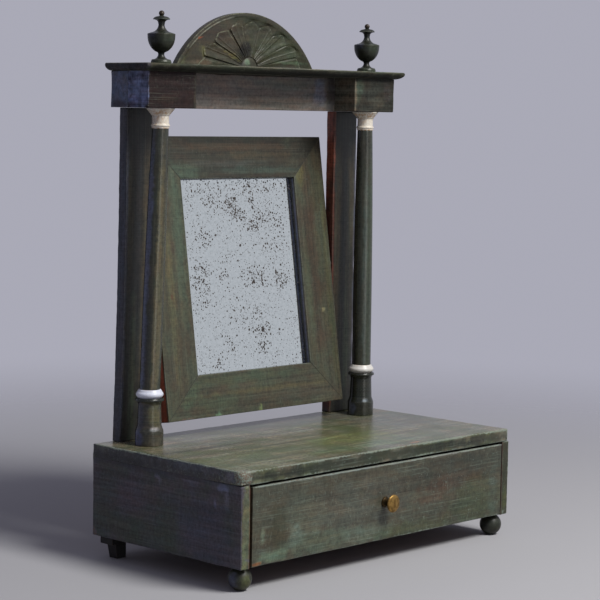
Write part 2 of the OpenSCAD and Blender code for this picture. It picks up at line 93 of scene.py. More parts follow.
def make_camera():
    """The camera's axes as columns: right, up and back, turned by the roll about back."""
    back = Vector((math.sin(VIEW_AZIMUTH) * math.cos(VIEW_ELEVATION),
                   -math.cos(VIEW_AZIMUTH) * math.cos(VIEW_ELEVATION), math.sin(VIEW_ELEVATION)))
    level = Vector((math.cos(VIEW_AZIMUTH), math.sin(VIEW_AZIMUTH), 0))
    above = back.cross(level)
    right = math.cos(VIEW_ROLL) * level + math.sin(VIEW_ROLL) * above
    up = back.cross(right)
    data = bpy.data.cameras.new("camera")
    data.lens = FOCAL_LENGTH
    data.sensor_width = 36
    data.clip_start = 0.1
    camera = bpy.data.objects.new("camera", data)
    camera.matrix_world = Matrix.Translation(VIEW_TARGET + VIEW_DISTANCE * back) @ Matrix(
        (right, up, back)).transposed().to_4x4()
    bpy.context.scene.collection.objects.link(camera)
    bpy.context.scene.camera = camera
    return camera


print(f"camera at {[round(v, 3) for v in make_camera().matrix_world.translation]}")

# %% [markdown]
# ## Node helpers
# Old paint is never one colour, so its materials are graphs of nodes. They could be wired by hand in the
# shader editor. Written as code they can be read, repeated and changed in one place. A few small helpers
# keep that short: one adds a node and fills its sockets, others do arithmetic, mix colours or make soft
# random values, and one makes an empty material around a Principled shader.

# %% Node helpers
def add(tree, kind, sockets=None, **settings):
    """Adds a node. Each socket gets a link where the value is another socket, or else the value."""
    node = tree.nodes.new(kind)
    for name, value in settings.items():
        setattr(node, name, value)
    for name, value in (sockets or {}).items():
        if isinstance(value, bpy.types.NodeSocket):
            tree.links.new(value, node.inputs[name])
        else:
            node.inputs[name].default_value = value
    return node


def maths(tree, operation, *values):
    """One arithmetic step on numbers or sockets."""
    return add(tree, "ShaderNodeMath", dict(enumerate(values)), operation=operation).outputs[0]


def vectors(tree, operation, sockets):
    """One arithmetic step on vectors."""
    return add(tree, "ShaderNodeVectorMath", sockets, operation=operation).outputs[0]


print("nodes: one helper adds them, two do arithmetic")


# %% Blends and noise
def ramp(tree, value, low, high, start=0.0, end=1.0):
    """Goes smoothly from start, where value is low, to end, where value is high."""
    sockets = {0: value, 1: low, 2: high, 3: start, 4: end}
    return add(tree, "ShaderNodeMapRange", sockets, interpolation_type="SMOOTHSTEP").outputs[0]


def mixed(tree, amount, first, second, blend_type="MIX"):
    """A colour that goes from the first to the second as amount goes from 0 to 1."""
    sockets = {0: amount, 6: first, 7: second}
    return add(tree, "ShaderNodeMix", sockets, data_type="RGBA", blend_type=blend_type).outputs[2]


def noise(tree, place, size, stretch=1.0, detail=2.0, rough=0.5):
    """Soft random values round 0.5, with features of about size mm, drawn out along the first axis."""
    scaled = vectors(tree, "MULTIPLY", {0: place, 1: (1 / (size * stretch), 1 / size, 1 / size)})
    sockets = {"Vector": scaled, "Scale": 1.0, "Detail": detail, "Roughness": rough}
    return add(tree, "ShaderNodeTexNoise", sockets).outputs[0]


print("noise is measured in mm, and drawn out along its first axis")


# %% Materials and colours
def new_material(name):
    """An empty material with one Principled shader: returns the material, its tree and the shader."""
    material = bpy.data.materials.new(name)
    material.use_nodes = True
    tree = material.node_tree
    tree.nodes.clear()
    shader = add(tree, "ShaderNodeBsdfPrincipled")
    add(tree, "ShaderNodeOutputMaterial", {"Surface": shader.outputs[0]})
    return material, tree, shader


def shade(red, green, blue):
    """A paint chip's 0 to 255 colour as the linear colour that shaders mix."""
    level = np.array([red, green, blue]) / 255
    linear = np.where(level <= 0.04045, level / 12.92, ((level + 0.055) / 1.055) ** 2.4)
    return (*linear.tolist(), 1.0)


print(f"middle grey is {shade(128, 128, 128)[0]:.3f} to a shader")

# %% [markdown]
# ## Room, floor and light
# The picture was lit by one big soft light, almost straight in front and high up, while the left faces
# see only the room. Four walls and lamps could be built, but a world does the same with fewer parts: it is
# pale to the eye, in glass and on gloss, a little darker towards the left, and dim as a light. Gloss
# alone sees a tall window in front, which draws a line of light down each turning. The floor is a pale
# disc that fades into the room, so that no horizon cuts the picture.

# %% The room
ROOM_BEHIND = (0.40, 0.40, 0.47, 1)
ROOM_FRONT = (0.55, 0.585, 0.64, 1)
ROOM_LEFT = (0.24, 0.26, 0.33, 1)
ROOM_LIGHT = (0.195, 0.19, 0.235, 1)
WINDOW = (2.2, 2.22, 2.2, 1)
WINDOW_AZIMUTH = math.radians(-9)
WINDOW_HALF = math.radians(7)


def opening(tree, x, y, azimuth, half):
    """1 inside a tall window at that azimuth and 0 outside it: by how far a ray goes aside, and ahead."""
    sine, cosine = math.sin(azimuth), math.cos(azimuth)
    aside = maths(tree, "MULTIPLY_ADD", y, sine, maths(tree, "MULTIPLY", x, cosine))
    ahead = maths(tree, "MULTIPLY_ADD", y, -cosine, maths(tree, "MULTIPLY", x, sine))
    within = ramp(tree, maths(tree, "ABSOLUTE", aside), math.sin(half / 2), math.sin(1.5 * half), 1.0, 0.0)
    return maths(tree, "MULTIPLY", within, ramp(tree, ahead, 0.5, 0.85))


def make_room():
    """The world: a pale backdrop for what the eye sees, and a dim even light for the rest."""
    world = bpy.data.worlds.new("room")
    bpy.context.scene.world = world
    world.use_nodes = True
    tree = world.node_tree
    tree.nodes.clear()
    path = add(tree, "ShaderNodeLightPath").outputs
    seen = maths(tree, "MAXIMUM", path["Is Camera Ray"], path["Is Glossy Ray"])
    seen = maths(tree, "MAXIMUM", seen, path["Is Transmission Ray"])
    direction = add(tree, "ShaderNodeTexCoord").outputs["Generated"]
    split = add(tree, "ShaderNodeSeparateXYZ", {0: direction}).outputs
    backdrop = mixed(tree, ramp(tree, split[1], -0.6, 0.5), ROOM_FRONT, ROOM_BEHIND)
    backdrop = mixed(tree, ramp(tree, split[0], -0.6, 0.55), ROOM_LEFT, backdrop)
    window = opening(tree, split[0], split[1], WINDOW_AZIMUTH, WINDOW_HALF)
    backdrop = mixed(tree, maths(tree, "MULTIPLY", window, path["Is Glossy Ray"]), backdrop, WINDOW)
    colour = mixed(tree, seen, ROOM_LIGHT, backdrop)
    add(tree, "ShaderNodeOutputWorld",
        {"Surface": add(tree, "ShaderNodeBackground", {"Color": colour}).outputs[0]})


bpy.context.scene.view_settings.view_transform = "Standard"
make_room()
print(f"room: a window {math.degrees(2 * WINDOW_HALF):.0f} degrees wide for gloss")

# %% The floor
FLOOR_RADIUS = 1.7
FLOOR_CORNERS = 96
FADE_FROM = 0.35
FLOOR_COLOUR = (0.40, 0.40, 0.42, 1)


def make_floor():
    """A disc: radius · (cos a, sin a). Its alpha falls from 1 near the piece to 0 at the rim."""
    angles = np.linspace(0, 2 * np.pi, FLOOR_CORNERS, endpoint=False)
    rim = np.stack([FLOOR_RADIUS * np.cos(angles), FLOOR_RADIUS * np.sin(angles), 0 * angles], 1)
    mesh = bpy.data.meshes.new("floor")
    mesh.from_pydata(rim.tolist(), [], [list(range(len(rim)))])
    floor = bpy.data.objects.new("floor", mesh)
    bpy.context.scene.collection.objects.link(floor)
    material, tree, shader = new_material("pale floor")
    place = add(tree, "ShaderNodeTexCoord").outputs["Object"]
    distance = add(tree, "ShaderNodeVectorMath", {0: place}, operation="LENGTH").outputs["Value"]
    fade = ramp(tree, distance, FADE_FROM, 0.95 * FLOOR_RADIUS, 1.0, 0.0)
    tree.links.new(fade, shader.inputs["Alpha"])
    shader.inputs["Base Color"].default_value = FLOOR_COLOUR
    shader.inputs["Roughness"].default_value = 0.8
    shader.inputs["Specular IOR Level"].default_value = 0.1
    mesh.materials.append(material)


make_floor()
print(f"floor: a disc of {FLOOR_RADIUS} m radius")

# %% The key lamp
KEY_AZIMUTH = math.radians(12)
KEY_ELEVATION = math.radians(50)
KEY_DISTANCE = 2.0
KEY_SIZE = 0.85
KEY_LEVEL = 2.3


def make_key():
    """An area lamp whose power gives KEY_LEVEL watts per square metre on a face turned to the front."""
    towards = Vector((math.sin(KEY_AZIMUTH) * math.cos(KEY_ELEVATION),
                      -math.cos(KEY_AZIMUTH) * math.cos(KEY_ELEVATION), math.sin(KEY_ELEVATION)))
    data = bpy.data.lights.new("soft key", "AREA")
    data.shape = "DISK"
    data.size = KEY_SIZE
    data.energy = KEY_LEVEL * math.pi * KEY_DISTANCE ** 2 / abs(towards.y)
    data.color = (1.0, 0.985, 0.95)
    lamp = bpy.data.objects.new("soft key", data)
    lamp.matrix_world = Matrix.Translation(towards * KEY_DISTANCE + Vector((0, 0, 0.2))) @ (
        towards.to_track_quat("Z", "Y").to_matrix().to_4x4())
    bpy.context.scene.collection.objects.link(lamp)
    return lamp


print(f"key lamp of {make_key().data.energy:.0f} W")

# %% [markdown]
# ## Surfaces from arrays
# Worn wood has no flat face and no sharp edge. Modifiers or sculpting could wear it down, but here every
# shape is a grid of points worked out by a formula and handed to Blender at once, because a formula
# knows at each point what wear depends on. What a finish needs to know travels with the points, as
# attributes: how the grain runs, how far the nearest arris is, where the paint is gone, and where it
# has another colour.

# %% Small formulas
WAVES = 9


def smooth(value, low, high):
    """Rises from 0 at low to 1 at high as 3t² − 2t³."""
    t = np.clip((value - low) / (high - low), 0, 1)
    return t * t * (3 - 2 * t)


def waves(points, size, seed):
    """Slow random relief of about −1 to 1: a sum of sine waves, size mm long, in seeded directions."""
    draw = np.random.default_rng(seed)
    directions = draw.normal(size=(WAVES, 3))
    directions /= np.linalg.norm(directions, axis=1, keepdims=True)
    directions *= 2 * np.pi / size * draw.uniform(0.6, 1.5, (WAVES, 1))
    return np.sin(points @ directions.T + draw.uniform(0, 6.28, WAVES)).sum(1) / math.sqrt(2 * WAVES)


def blob(points, centre, radii, ragged=0.25):
    """1 inside an ellipsoid and 0 outside, with a soft and uneven border."""
    distance = np.linalg.norm((points - np.array(centre)) / np.array(radii), axis=1)
    distance += ragged * waves(points, 16, 5) + 0.5 * ragged * waves(points, 6, 6)
    return 1 - smooth(distance, 0.55, 1.25)


print(f"a blob is {blob(np.zeros((1, 3)), (0, 0, 0), (1, 1, 1))[0]:.0f} in its middle")


# %% Patches and chips
def laid_over(layers, cover, colour):
    """Lays a colour over layers of colour and cover, as far as cover, from 0 to 1, says at each point."""
    cover = cover[:, None]
    total = cover + layers[:, 3:] * (1 - cover)
    mix = np.array(shade(*colour))[:3] * cover + layers[:, :3] * layers[:, 3:] * (1 - cover)
    return np.hstack([mix / np.maximum(total, 1e-6), total])


def tinted(points, patches):
    """Lays (centre, radii, colour, strength) patches over each other: their colour, and their cover."""
    layers = np.zeros((len(points), 4))
    for centre, radii, colour, strength in patches:
        layers = laid_over(layers, strength * blob(points, centre, radii), colour)
    return layers


def patches_on(axis, level, depth):
    """A maker of patches on a face square to an axis: place and radii on the face, colour and strength."""
    def patch(across, up, wide, tall, colour, strength):
        centre, radii = [across, up], [wide, tall]
        centre.insert(axis, level)
        radii.insert(axis, depth)
        return centre, radii, colour, strength
    return patch


def chipped(points, chips):
    """How bare each point is, from (centre, radii, strength) chips: the largest of them counts."""
    bare = np.zeros(len(points))
    for centre, radii, strength in chips:
        bare = np.maximum(bare, strength * blob(points, centre, radii))
    return bare


print("patches lay colour over colour, and of several chips the largest counts")

# %% From arrays to a piece
SHARP_ANGLE = math.radians(40)
GRAIN_SHIFT = 400
piece_count = 0


def piece(name, shape, body, slot, finish, nodes, patches=(), chips=(), cast=None, bare=None, bend=None):
    """Makes a mesh of shape's points and faces, with its attributes, and seats it in the frame. Patches or
    a ready cast give colours, chips or a ready mask give bare places. bend moves the points last."""
    global piece_count
    cast = tinted(shape["points"], patches) if cast is None else cast
    bare = chipped(shape["points"], chips) if bare is None else bare
    if bend is not None:
        bend(shape["points"])
    mesh = bpy.data.meshes.new(name)
    mesh.from_pydata((shape["points"] * MM).tolist(), [], shape["faces"])
    loose = bmesh.new()
    loose.from_mesh(mesh)
    bmesh.ops.recalc_face_normals(loose, faces=loose.faces)
    loose.to_mesh(mesh)
    loose.free()
    mesh.shade_smooth()
    mesh.set_sharp_from_angle(angle=SHARP_ANGLE)
    shift = np.random.default_rng(zlib.crc32(name.encode())).uniform(-GRAIN_SHIFT, GRAIN_SHIFT, 3)
    layers = {"grain": ("FLOAT_VECTOR", "vector", shape["grain"] + shift),
              "edge": ("FLOAT", "value", shape["edge"]),
              "bare": ("FLOAT", "value", bare),
              "cast": ("FLOAT_COLOR", "color", cast)}
    for label, (kind, field, values) in layers.items():
        attribute = mesh.attributes.new(label, kind, "POINT")
        attribute.data.foreach_set(field, np.asarray(values, np.float32).ravel())
    mesh.materials.append(FINISHES[finish])
    made = bpy.data.objects.new(name, mesh)
    bpy.context.scene.collection.objects.link(made)
    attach(made, body)
    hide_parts(*nodes)
    piece_count += 1
    return made


print("a piece carries its grain, edge, bare and cast as attributes")

# %% [markdown]
# ## Old paint
# The paint is one thin coat of grey-green, brushed along each board and rubbed for a century. Looking
# close, it is five things: a slow change of tone, brush lines along the grain, a fine mottle,
# pale rubbed arrises, and chips down to the wood. A painted picture of it would blur close by and belong
# to one board only. Noise that follows the grain stays sharp and fits every board, so one node group
# does all five, and each part of the piece has its own mixture, because they were painted and handled
# differently.

# %% Node groups
KINDS = {"value": "NodeSocketFloat", "colour": "NodeSocketColor", "vector": "NodeSocketVector"}


def new_group(name, takes, gives):
    """A shader node group with named sockets: its tree, its inputs and its outputs."""
    tree = bpy.data.node_groups.new(name, "ShaderNodeTree")
    for way, sockets in (("INPUT", takes), ("OUTPUT", gives)):
        for label, kind in sockets.items():
            tree.interface.new_socket(label, in_out=way, socket_type=KINDS[kind])
    return tree, tree.nodes.new("NodeGroupInput").outputs, tree.nodes.new("NodeGroupOutput").inputs


def link_all(tree, outputs, values):
    """Links each named result to the group's output of that name."""
    for name, value in values.items():
        tree.links.new(value, outputs[name])


print(f"groups: sockets of {len(KINDS)} kinds")

# %% The coat
WARMER = (1.08, 0.99, 0.88, 1)
COOLER = (0.93, 1.03, 1.0, 1)


def brushwork(tree, grain):
    """Broad bands less fine lines along the grain, and a weave across it, round 0. Also the lines."""
    bands = noise(tree, grain, 4.5, 26, 2)
    lines = noise(tree, grain, 0.95, 70, 3, 0.6)
    weave = noise(tree, grain, 24, 0.04, 2)
    brushed = maths(tree, "ADD", maths(tree, "SUBTRACT", bands, 0.5), maths(tree, "SUBTRACT", lines, 0.5))
    return maths(tree, "MULTIPLY_ADD", maths(tree, "SUBTRACT", weave, 0.5), 0.6, brushed), lines


def coat_tone(tree, given, brushed, mottle):
    """Two paints in slow patches, under the cast, now warmer, now cooler, and light or dark by brush."""
    slow = noise(tree, given["Place"], 34, 1.0, 3, 0.55)
    hue = noise(tree, given["Grain"], 7, 3.5, 4, 0.62)
    tone = mixed(tree, maths(tree, "MULTIPLY", ramp(tree, slow, 0.38, 0.64), given["Blotch"]),
                 given["Main"], given["Second"])
    patchy = maths(tree, "MULTIPLY", given["Cover"], ramp(tree, mottle, 0.2, 0.5, 0.72, 1.0))
    tone = mixed(tree, patchy, tone, given["Cast"])
    tone = mixed(tree, 1.0, tone, mixed(tree, ramp(tree, hue, 0.36, 0.64), WARMER, COOLER), "MULTIPLY")
    light = maths(tree, "MULTIPLY_ADD", brushed, given["Streaks"], 1.0)
    light = maths(tree, "ADD", light, maths(tree, "MULTIPLY", maths(tree, "SUBTRACT", mottle, 0.5), 1.7))
    light = maths(tree, "MAXIMUM", light, 0.2)
    light = add(tree, "ShaderNodeCombineColor", {0: light, 1: light, 2: light}).outputs[0]
    return mixed(tree, 1.0, tone, light, "MULTIPLY")


print("coat: tone, brush lines and mottle")


# %% Scuffs and wear
def scuff_marks(tree, place, grain, lines):
    """The largest of scratches across and along the grain, rubbed brush lines, dots and dust, 0 to 1."""
    broken = ramp(tree, noise(tree, place, 9, 1.0, 2), 0.5, 0.62)
    across = ramp(tree, noise(tree, grain, 7, 0.07, 1), 0.66, 0.72)
    lengthwise = ramp(tree, noise(tree, grain, 0.5, 18, 1), 0.68, 0.74)
    marks = maths(tree, "MULTIPLY", maths(tree, "MAXIMUM", across, lengthwise), broken)
    raised = maths(tree, "MULTIPLY", ramp(tree, lines, 0.55, 0.68),
                   ramp(tree, noise(tree, place, 24, 1.0, 3), 0.42, 0.62, 0.0, 0.55))
    marks = maths(tree, "MAXIMUM", marks, raised)
    cells = add(tree, "ShaderNodeTexVoronoi", {"Vector": place, "Scale": 0.16})
    pick = add(tree, "ShaderNodeSeparateColor", {0: cells.outputs["Color"]}).outputs[0]
    dot = maths(tree, "DIVIDE", cells.outputs["Distance"], ramp(tree, pick, 0.55, 1.0, 0.02, 0.11))
    marks = maths(tree, "MAXIMUM", marks, ramp(tree, dot, 0.6, 1.0, 1.0, 0.0))
    dusty = maths(tree, "MULTIPLY", ramp(tree, noise(tree, place, 1.2, 1.0, 2, 0.6), 0.58, 0.72),
                  ramp(tree, noise(tree, place, 15, 1.0, 2), 0.46, 0.64, 0.0, 0.6))
    return maths(tree, "MAXIMUM", marks, dusty)


def from_arris(tree, given):
    """The distance to the nearest arris, as a share of how far the wear reaches there."""
    uneven = maths(tree, "ADD", noise(tree, given["Grain"], 6, 5, 3, 0.6),
                   noise(tree, given["Place"], 1.5, 1.0, 2))
    reach = maths(tree, "MULTIPLY", given["Wear"], ramp(tree, uneven, 0.75, 1.3, 0.08, 2.4))
    return maths(tree, "DIVIDE", given["Edge"], maths(tree, "MAXIMUM", reach, 0.02))


def chip_mask(tree, given):
    """1 where the paint has come off: the bare mask with a crumbly border."""
    crumbs = noise(tree, given["Place"], 2.4, 1.0, 3, 0.7)
    crumbs = maths(tree, "MULTIPLY", maths(tree, "SUBTRACT", crumbs, 0.5), 1.6)
    torn = maths(tree, "ADD", given["Bare"], crumbs)
    return maths(tree, "MULTIPLY", ramp(tree, torn, 0.45, 0.6), ramp(tree, given["Bare"], 0.02, 0.1))


print("wear: grows from the arrises, and chips from the bare mask")


# %% The aged paint group
def aged_paint():
    """The coat, scuffed, rubbed pale at the arrises and then through to the wood, and chipped."""
    tree, given, result = new_group(
        "aged paint",
        {"Place": "vector", "Grain": "vector", "Edge": "value", "Bare": "value", "Cast": "colour",
         "Cover": "value", "Main": "colour", "Second": "colour", "Pale": "colour", "Wood": "colour",
         "Blotch": "value", "Streaks": "value", "Wear": "value", "Scuffs": "value"},
        {"Color": "colour", "Rubbed": "value", "Height": "value"})
    place, grain = given["Place"], given["Grain"]
    brushed, lines = brushwork(tree, grain)
    mottle = noise(tree, place, 3.2, 1.0, 4, 0.68)
    tone = coat_tone(tree, given, brushed, mottle)
    marks = maths(tree, "MULTIPLY", scuff_marks(tree, place, grain, lines), given["Scuffs"])
    tone = mixed(tree, marks, tone, given["Pale"])
    near, chip = from_arris(tree, given), chip_mask(tree, given)
    rubbed = ramp(tree, near, 0.55, 1.3, 1.0, 0.0)
    through = ramp(tree, near, 0.12, 0.3, 0.8, 0.0)
    tone = mixed(tree, maths(tree, "MULTIPLY", rubbed, 0.85), tone, given["Pale"])
    tone = mixed(tree, through, tone, given["Wood"])
    primer = ramp(tree, noise(tree, place, 1.3, 1.0, 2), 0.42, 0.62)
    under = mixed(tree, primer, given["Wood"], given["Pale"])
    tone = mixed(tree, maths(tree, "MULTIPLY", chip, 0.9), tone, under)
    height = maths(tree, "MULTIPLY_ADD", brushed, 0.55, maths(tree, "MULTIPLY", mottle, 0.5))
    height = maths(tree, "SUBTRACT", height, maths(tree, "MULTIPLY", chip, 0.8))
    rubbed = maths(tree, "MAXIMUM", rubbed, chip)
    link_all(tree, result, {"Color": tone, "Rubbed": rubbed, "Height": height})
    return tree


PAINT_GROUP = aged_paint()
FINISHES = {}
print(f"aged paint: {len(PAINT_GROUP.nodes)} nodes")

# %% A painted finish
MINT = (128, 142, 130)
DULL_PALE = (92, 96, 86)
WARM_WOOD = (100, 84, 70)
COAT_DEPTH = 0.25 * MM


def place_in_mm(tree):
    """Object coordinates, scaled so that a noise of size 5 has features of 5 mm."""
    place = add(tree, "ShaderNodeTexCoord").outputs["Object"]
    return vectors(tree, "SCALE", {0: place, "Scale": 1 / MM})


def carried(tree, name, output="Fac"):
    """What an attribute of the mesh says at this place."""
    return add(tree, "ShaderNodeAttribute", attribute_name=name).outputs[output]


def painted(name, main, second, pale=MINT, blotch=0.8, streaks=0.6, wear=0.8, scuffs=0.5, rough=0.42,
            shine=0.4):
    """A coat of aged paint, pale where it is rubbed. rough and shine are those of the smooth coat."""
    material, tree, shader = new_material(name)
    sockets = {"Place": place_in_mm(tree), "Grain": carried(tree, "grain", "Vector"),
               "Edge": carried(tree, "edge"), "Bare": carried(tree, "bare"),
               "Cast": carried(tree, "cast", "Color"), "Cover": carried(tree, "cast", "Alpha"),
               "Main": shade(*main), "Second": shade(*second), "Pale": shade(*pale),
               "Wood": shade(*WARM_WOOD), "Blotch": blotch, "Streaks": streaks, "Wear": wear,
               "Scuffs": scuffs}
    coat = add(tree, "ShaderNodeGroup", sockets, node_tree=PAINT_GROUP)
    tree.links.new(coat.outputs["Color"], shader.inputs["Base Color"])
    tree.links.new(ramp(tree, coat.outputs["Rubbed"], 0.0, 1.0, rough, 0.7), shader.inputs["Roughness"])
    bump = add(tree, "ShaderNodeBump",
               {"Height": coat.outputs["Height"], "Strength": 0.8, "Distance": COAT_DEPTH})
    tree.links.new(bump.outputs[0], shader.inputs["Normal"])
    shader.inputs["Specular IOR Level"].default_value = shine
    FINISHES[name] = material


print(f"a coat is {COAT_DEPTH / MM} mm deep")

# %% Paint mixtures
painted("top paint", (81, 86, 61), (110, 105, 92), blotch=0.9, streaks=1.3, wear=0.9, rough=0.27,
        shine=0.42)
painted("drawer paint", (72, 71, 60), (65, 62, 49), streaks=0.9, wear=0.7, scuffs=0.6, rough=0.48)
# The left side's mixture is a bluer copy of the paint: painted blue shade on the face away from the lamp.
painted("shaded side paint", (72, 68, 78), (58, 66, 62), pale=(92, 94, 110), streaks=1.2, wear=0.4, rough=0.5,
        shine=0.3)
painted("head paint", (82, 76, 73), (76, 74, 62), pale=DULL_PALE, streaks=1.1, wear=0.15, rough=0.48)
painted("post paint", (51, 50, 46), (42, 40, 35), pale=DULL_PALE, streaks=1.5, wear=0.12, scuffs=0.15,
        rough=0.42, shine=0.35)
painted("frame paint", (66, 68, 54), (64, 56, 45), pale=DULL_PALE, streaks=1.2, wear=0.4, scuffs=0.5,
        rough=0.46)
painted("block paint", (40, 31, 31), (37, 33, 29), pale=DULL_PALE, streaks=1.3, wear=0.15, scuffs=0.6,
        rough=0.68, shine=0.12)
painted("cornice paint", (60, 60, 50), (50, 48, 39), pale=DULL_PALE, streaks=1.1, wear=0.12, rough=0.66,
        shine=0.12)
painted("turned paint", (50, 51, 40), (43, 45, 35), pale=DULL_PALE, streaks=1.0, wear=0.06, scuffs=0.25,
        rough=0.24, shine=0.55)
painted("urn paint", (37, 39, 32), (30, 31, 27), pale=DULL_PALE, streaks=0.9, wear=0.12, scuffs=0.3,
        rough=0.38, shine=0.3)
painted("carving paint", (51, 46, 36), (47, 50, 35), pale=(100, 102, 84), streaks=0.7, wear=0.34,
        scuffs=0.3, rough=0.46)
painted("foot paint", (50, 50, 40), (38, 40, 33), pale=DULL_PALE, streaks=0.6, wear=0.4, rough=0.4,
        shine=0.35)
painted("black stain", (30, 27, 28), (24, 22, 22), pale=(60, 56, 52), streaks=0.6, wear=0.4, scuffs=0.2,
        rough=0.6)
print(f"paints: {sorted(FINISHES)}")

# %% [markdown]
# ## Bare wood
# Nobody paints what nobody sees: the back of the box, its bottom, the inside of the drawer and the board
# behind the glass are old bare wood. Its rings show as long streaks of early and late wood, with dust
# and handling marks over them. A wave texture would draw rings too, but all alike. A stretched noise
# cut into bands gives rings that meet, part and end in loops, as sawn boards show them.

# %% The old wood group
def old_wood():
    """Growth rings as stretched bands, fine fibres along them, and brown stains in slow patches."""
    tree, given, result = new_group(
        "old wood",
        {"Place": "vector", "Grain": "vector", "Edge": "value", "Early": "colour", "Late": "colour",
         "Stain": "colour", "Dirt": "value"},
        {"Color": "colour", "Roughness": "value", "Height": "value"})
    rings = noise(tree, given["Grain"], 7, 14, 2, 0.45)
    ringed = maths(tree, "FRACT", maths(tree, "MULTIPLY", rings, 9.0))
    late = maths(tree, "MULTIPLY", ramp(tree, ringed, 0.35, 0.85), ramp(tree, ringed, 0.92, 1.0, 1.0, 0.0))
    fibres = noise(tree, given["Grain"], 0.8, 60, 2, 0.6)
    stains = ramp(tree, noise(tree, given["Place"], 28, 1.0, 4, 0.6), 0.42, 0.66)
    tone = mixed(tree, maths(tree, "MULTIPLY", late, 0.55), given["Early"], given["Late"])
    tone = mixed(tree, ramp(tree, fibres, 0.3, 0.7, 0.35, 0.0), tone, given["Late"])
    tone = mixed(tree, maths(tree, "MULTIPLY", stains, given["Dirt"]), tone, given["Stain"])
    tone = mixed(tree, ramp(tree, given["Edge"], 0.0, 2.5, 0.3, 0.0), tone, given["Stain"])
    height = maths(tree, "SUBTRACT", fibres, maths(tree, "MULTIPLY", late, 0.3))
    rough = ramp(tree, stains, 0.0, 1.0, 0.72, 0.6)
    link_all(tree, result, {"Color": tone, "Roughness": rough, "Height": height})
    return tree


WOOD_GROUP = old_wood()
print(f"old wood: {len(WOOD_GROUP.nodes)} nodes")


# %% Bare woods
def bare_wood(name, early, late, stain, dirt):
    """Unpainted old wood, with the colours of its early wood, late wood and stains."""
    material, tree, shader = new_material(name)
    sockets = {"Place": place_in_mm(tree), "Grain": carried(tree, "grain", "Vector"),
               "Edge": carried(tree, "edge"), "Early": shade(*early), "Late": shade(*late),
               "Stain": shade(*stain), "Dirt": dirt}
    wood = add(tree, "ShaderNodeGroup", sockets, node_tree=WOOD_GROUP)
    tree.links.new(wood.outputs["Color"], shader.inputs["Base Color"])
    tree.links.new(wood.outputs["Roughness"], shader.inputs["Roughness"])
    bump = add(tree, "ShaderNodeBump",
               {"Height": wood.outputs["Height"], "Strength": 0.6, "Distance": COAT_DEPTH})
    tree.links.new(bump.outputs[0], shader.inputs["Normal"])
    shader.inputs["Specular IOR Level"].default_value = 0.25
    FINISHES[name] = material


bare_wood("carcass wood", (140, 108, 78), (98, 70, 50), (72, 54, 42), 0.5)
bare_wood("drawer wood", (150, 120, 84), (112, 80, 52), (84, 62, 46), 0.45)
bare_wood("backing wood", (134, 102, 74), (94, 66, 47), (68, 50, 39), 0.5)
print("bare woods: carcass, drawer and backing")

# %% [markdown]
# ## Stone, brass, steel and old silvering
# The capitals and rings are alabaster, cream or colder, with rust where iron has bled. Light goes a little
# way into such stone, so it gets some subsurface scattering. The knob is cast brass gone brown. The
# looking glass is a mirror whose silver has rotted in spots, from the damp: round specks of many sizes
# where it stood wet longest, and long blots where it ran. Thousands of specks could each be a mesh. Cells
# of a Voronoi texture give each its place and size for nothing.

# %% Alabaster
CREAM, CLOUD, RUST, GRIME = (226, 224, 219), (208, 203, 193), (172, 128, 78), (150, 138, 124)


def alabaster():
    """Cream stone with soft clouds, under its cast. The bare mask gives rust, and a little painted shade.
    """
    material, tree, shader = new_material("alabaster")
    place = place_in_mm(tree)
    clouds = noise(tree, place, 6, 1.0, 4, 0.55)
    tone = mixed(tree, ramp(tree, clouds, 0.35, 0.7), shade(*CREAM), shade(*CLOUD))
    veins = ramp(tree, noise(tree, place, 2.6, 1.0, 4, 0.65), 0.4, 0.6)
    rust_and_painted_shade = maths(tree, "MULTIPLY", carried(tree, "bare"), veins)
    tone = mixed(tree, carried(tree, "cast", "Alpha"), tone, carried(tree, "cast", "Color"))
    tone = mixed(tree, rust_and_painted_shade, tone, shade(*RUST))
    grimy = ramp(tree, noise(tree, place, 1.6, 1.0, 3, 0.6), 0.52, 0.75, 0.0, 0.25)
    tone = mixed(tree, grimy, tone, shade(*GRIME))
    tree.links.new(tone, shader.inputs["Base Color"])
    tree.links.new(ramp(tree, clouds, 0.3, 0.7, 0.28, 0.4), shader.inputs["Roughness"])
    shader.inputs["Subsurface Weight"].default_value = 0.12
    shader.inputs["Subsurface Scale"].default_value = 0.003
    shader.inputs["Subsurface Radius"].default_value = (1.0, 0.85, 0.7)
    bump = add(tree, "ShaderNodeBump", {"Height": clouds, "Strength": 0.4, "Distance": 0.1 * MM})
    tree.links.new(bump.outputs[0], shader.inputs["Normal"])
    FINISHES["alabaster"] = material


alabaster()
print("alabaster: clouds, rust and grime")


# %% Brass and steel
def old_metal(name, bright, dull, rough, hollow):
    """A metal under a patina. The patina is brown where the bare mask says that the metal is hollow."""
    material, tree, shader = new_material(name)
    place = place_in_mm(tree)
    patina = noise(tree, place, 4.5, 1.0, 2, 0.5)
    tone = mixed(tree, ramp(tree, patina, 0.38, 0.62), shade(*bright), shade(*dull))
    tone = mixed(tree, carried(tree, "bare"), tone, shade(*hollow))
    tree.links.new(tone, shader.inputs["Base Color"])
    tree.links.new(ramp(tree, patina, 0.35, 0.65, rough, rough + 0.18), shader.inputs["Roughness"])
    shader.inputs["Metallic"].default_value = 0.9
    bump = add(tree, "ShaderNodeBump", {"Height": patina, "Strength": 0.4, "Distance": 0.05 * MM})
    tree.links.new(bump.outputs[0], shader.inputs["Normal"])
    FINISHES[name] = material


old_metal("brass", (158, 125, 70), (118, 91, 49), 0.38, (24, 20, 15))
old_metal("steel", (132, 130, 126), (92, 84, 76), 0.38, (60, 52, 46))
print("metals: brass and steel")

# %% Foxed silvering
SPECK_SIZES = {1.5: (0.68, 0.53), 2.9: (0.67, 0.45), 5.0: (0.73, 0.26)}
SILVER, TARNISH = (229, 230, 229), (207, 210, 209)
ROT, OLD_ROT = (34, 28, 26), (70, 58, 52)


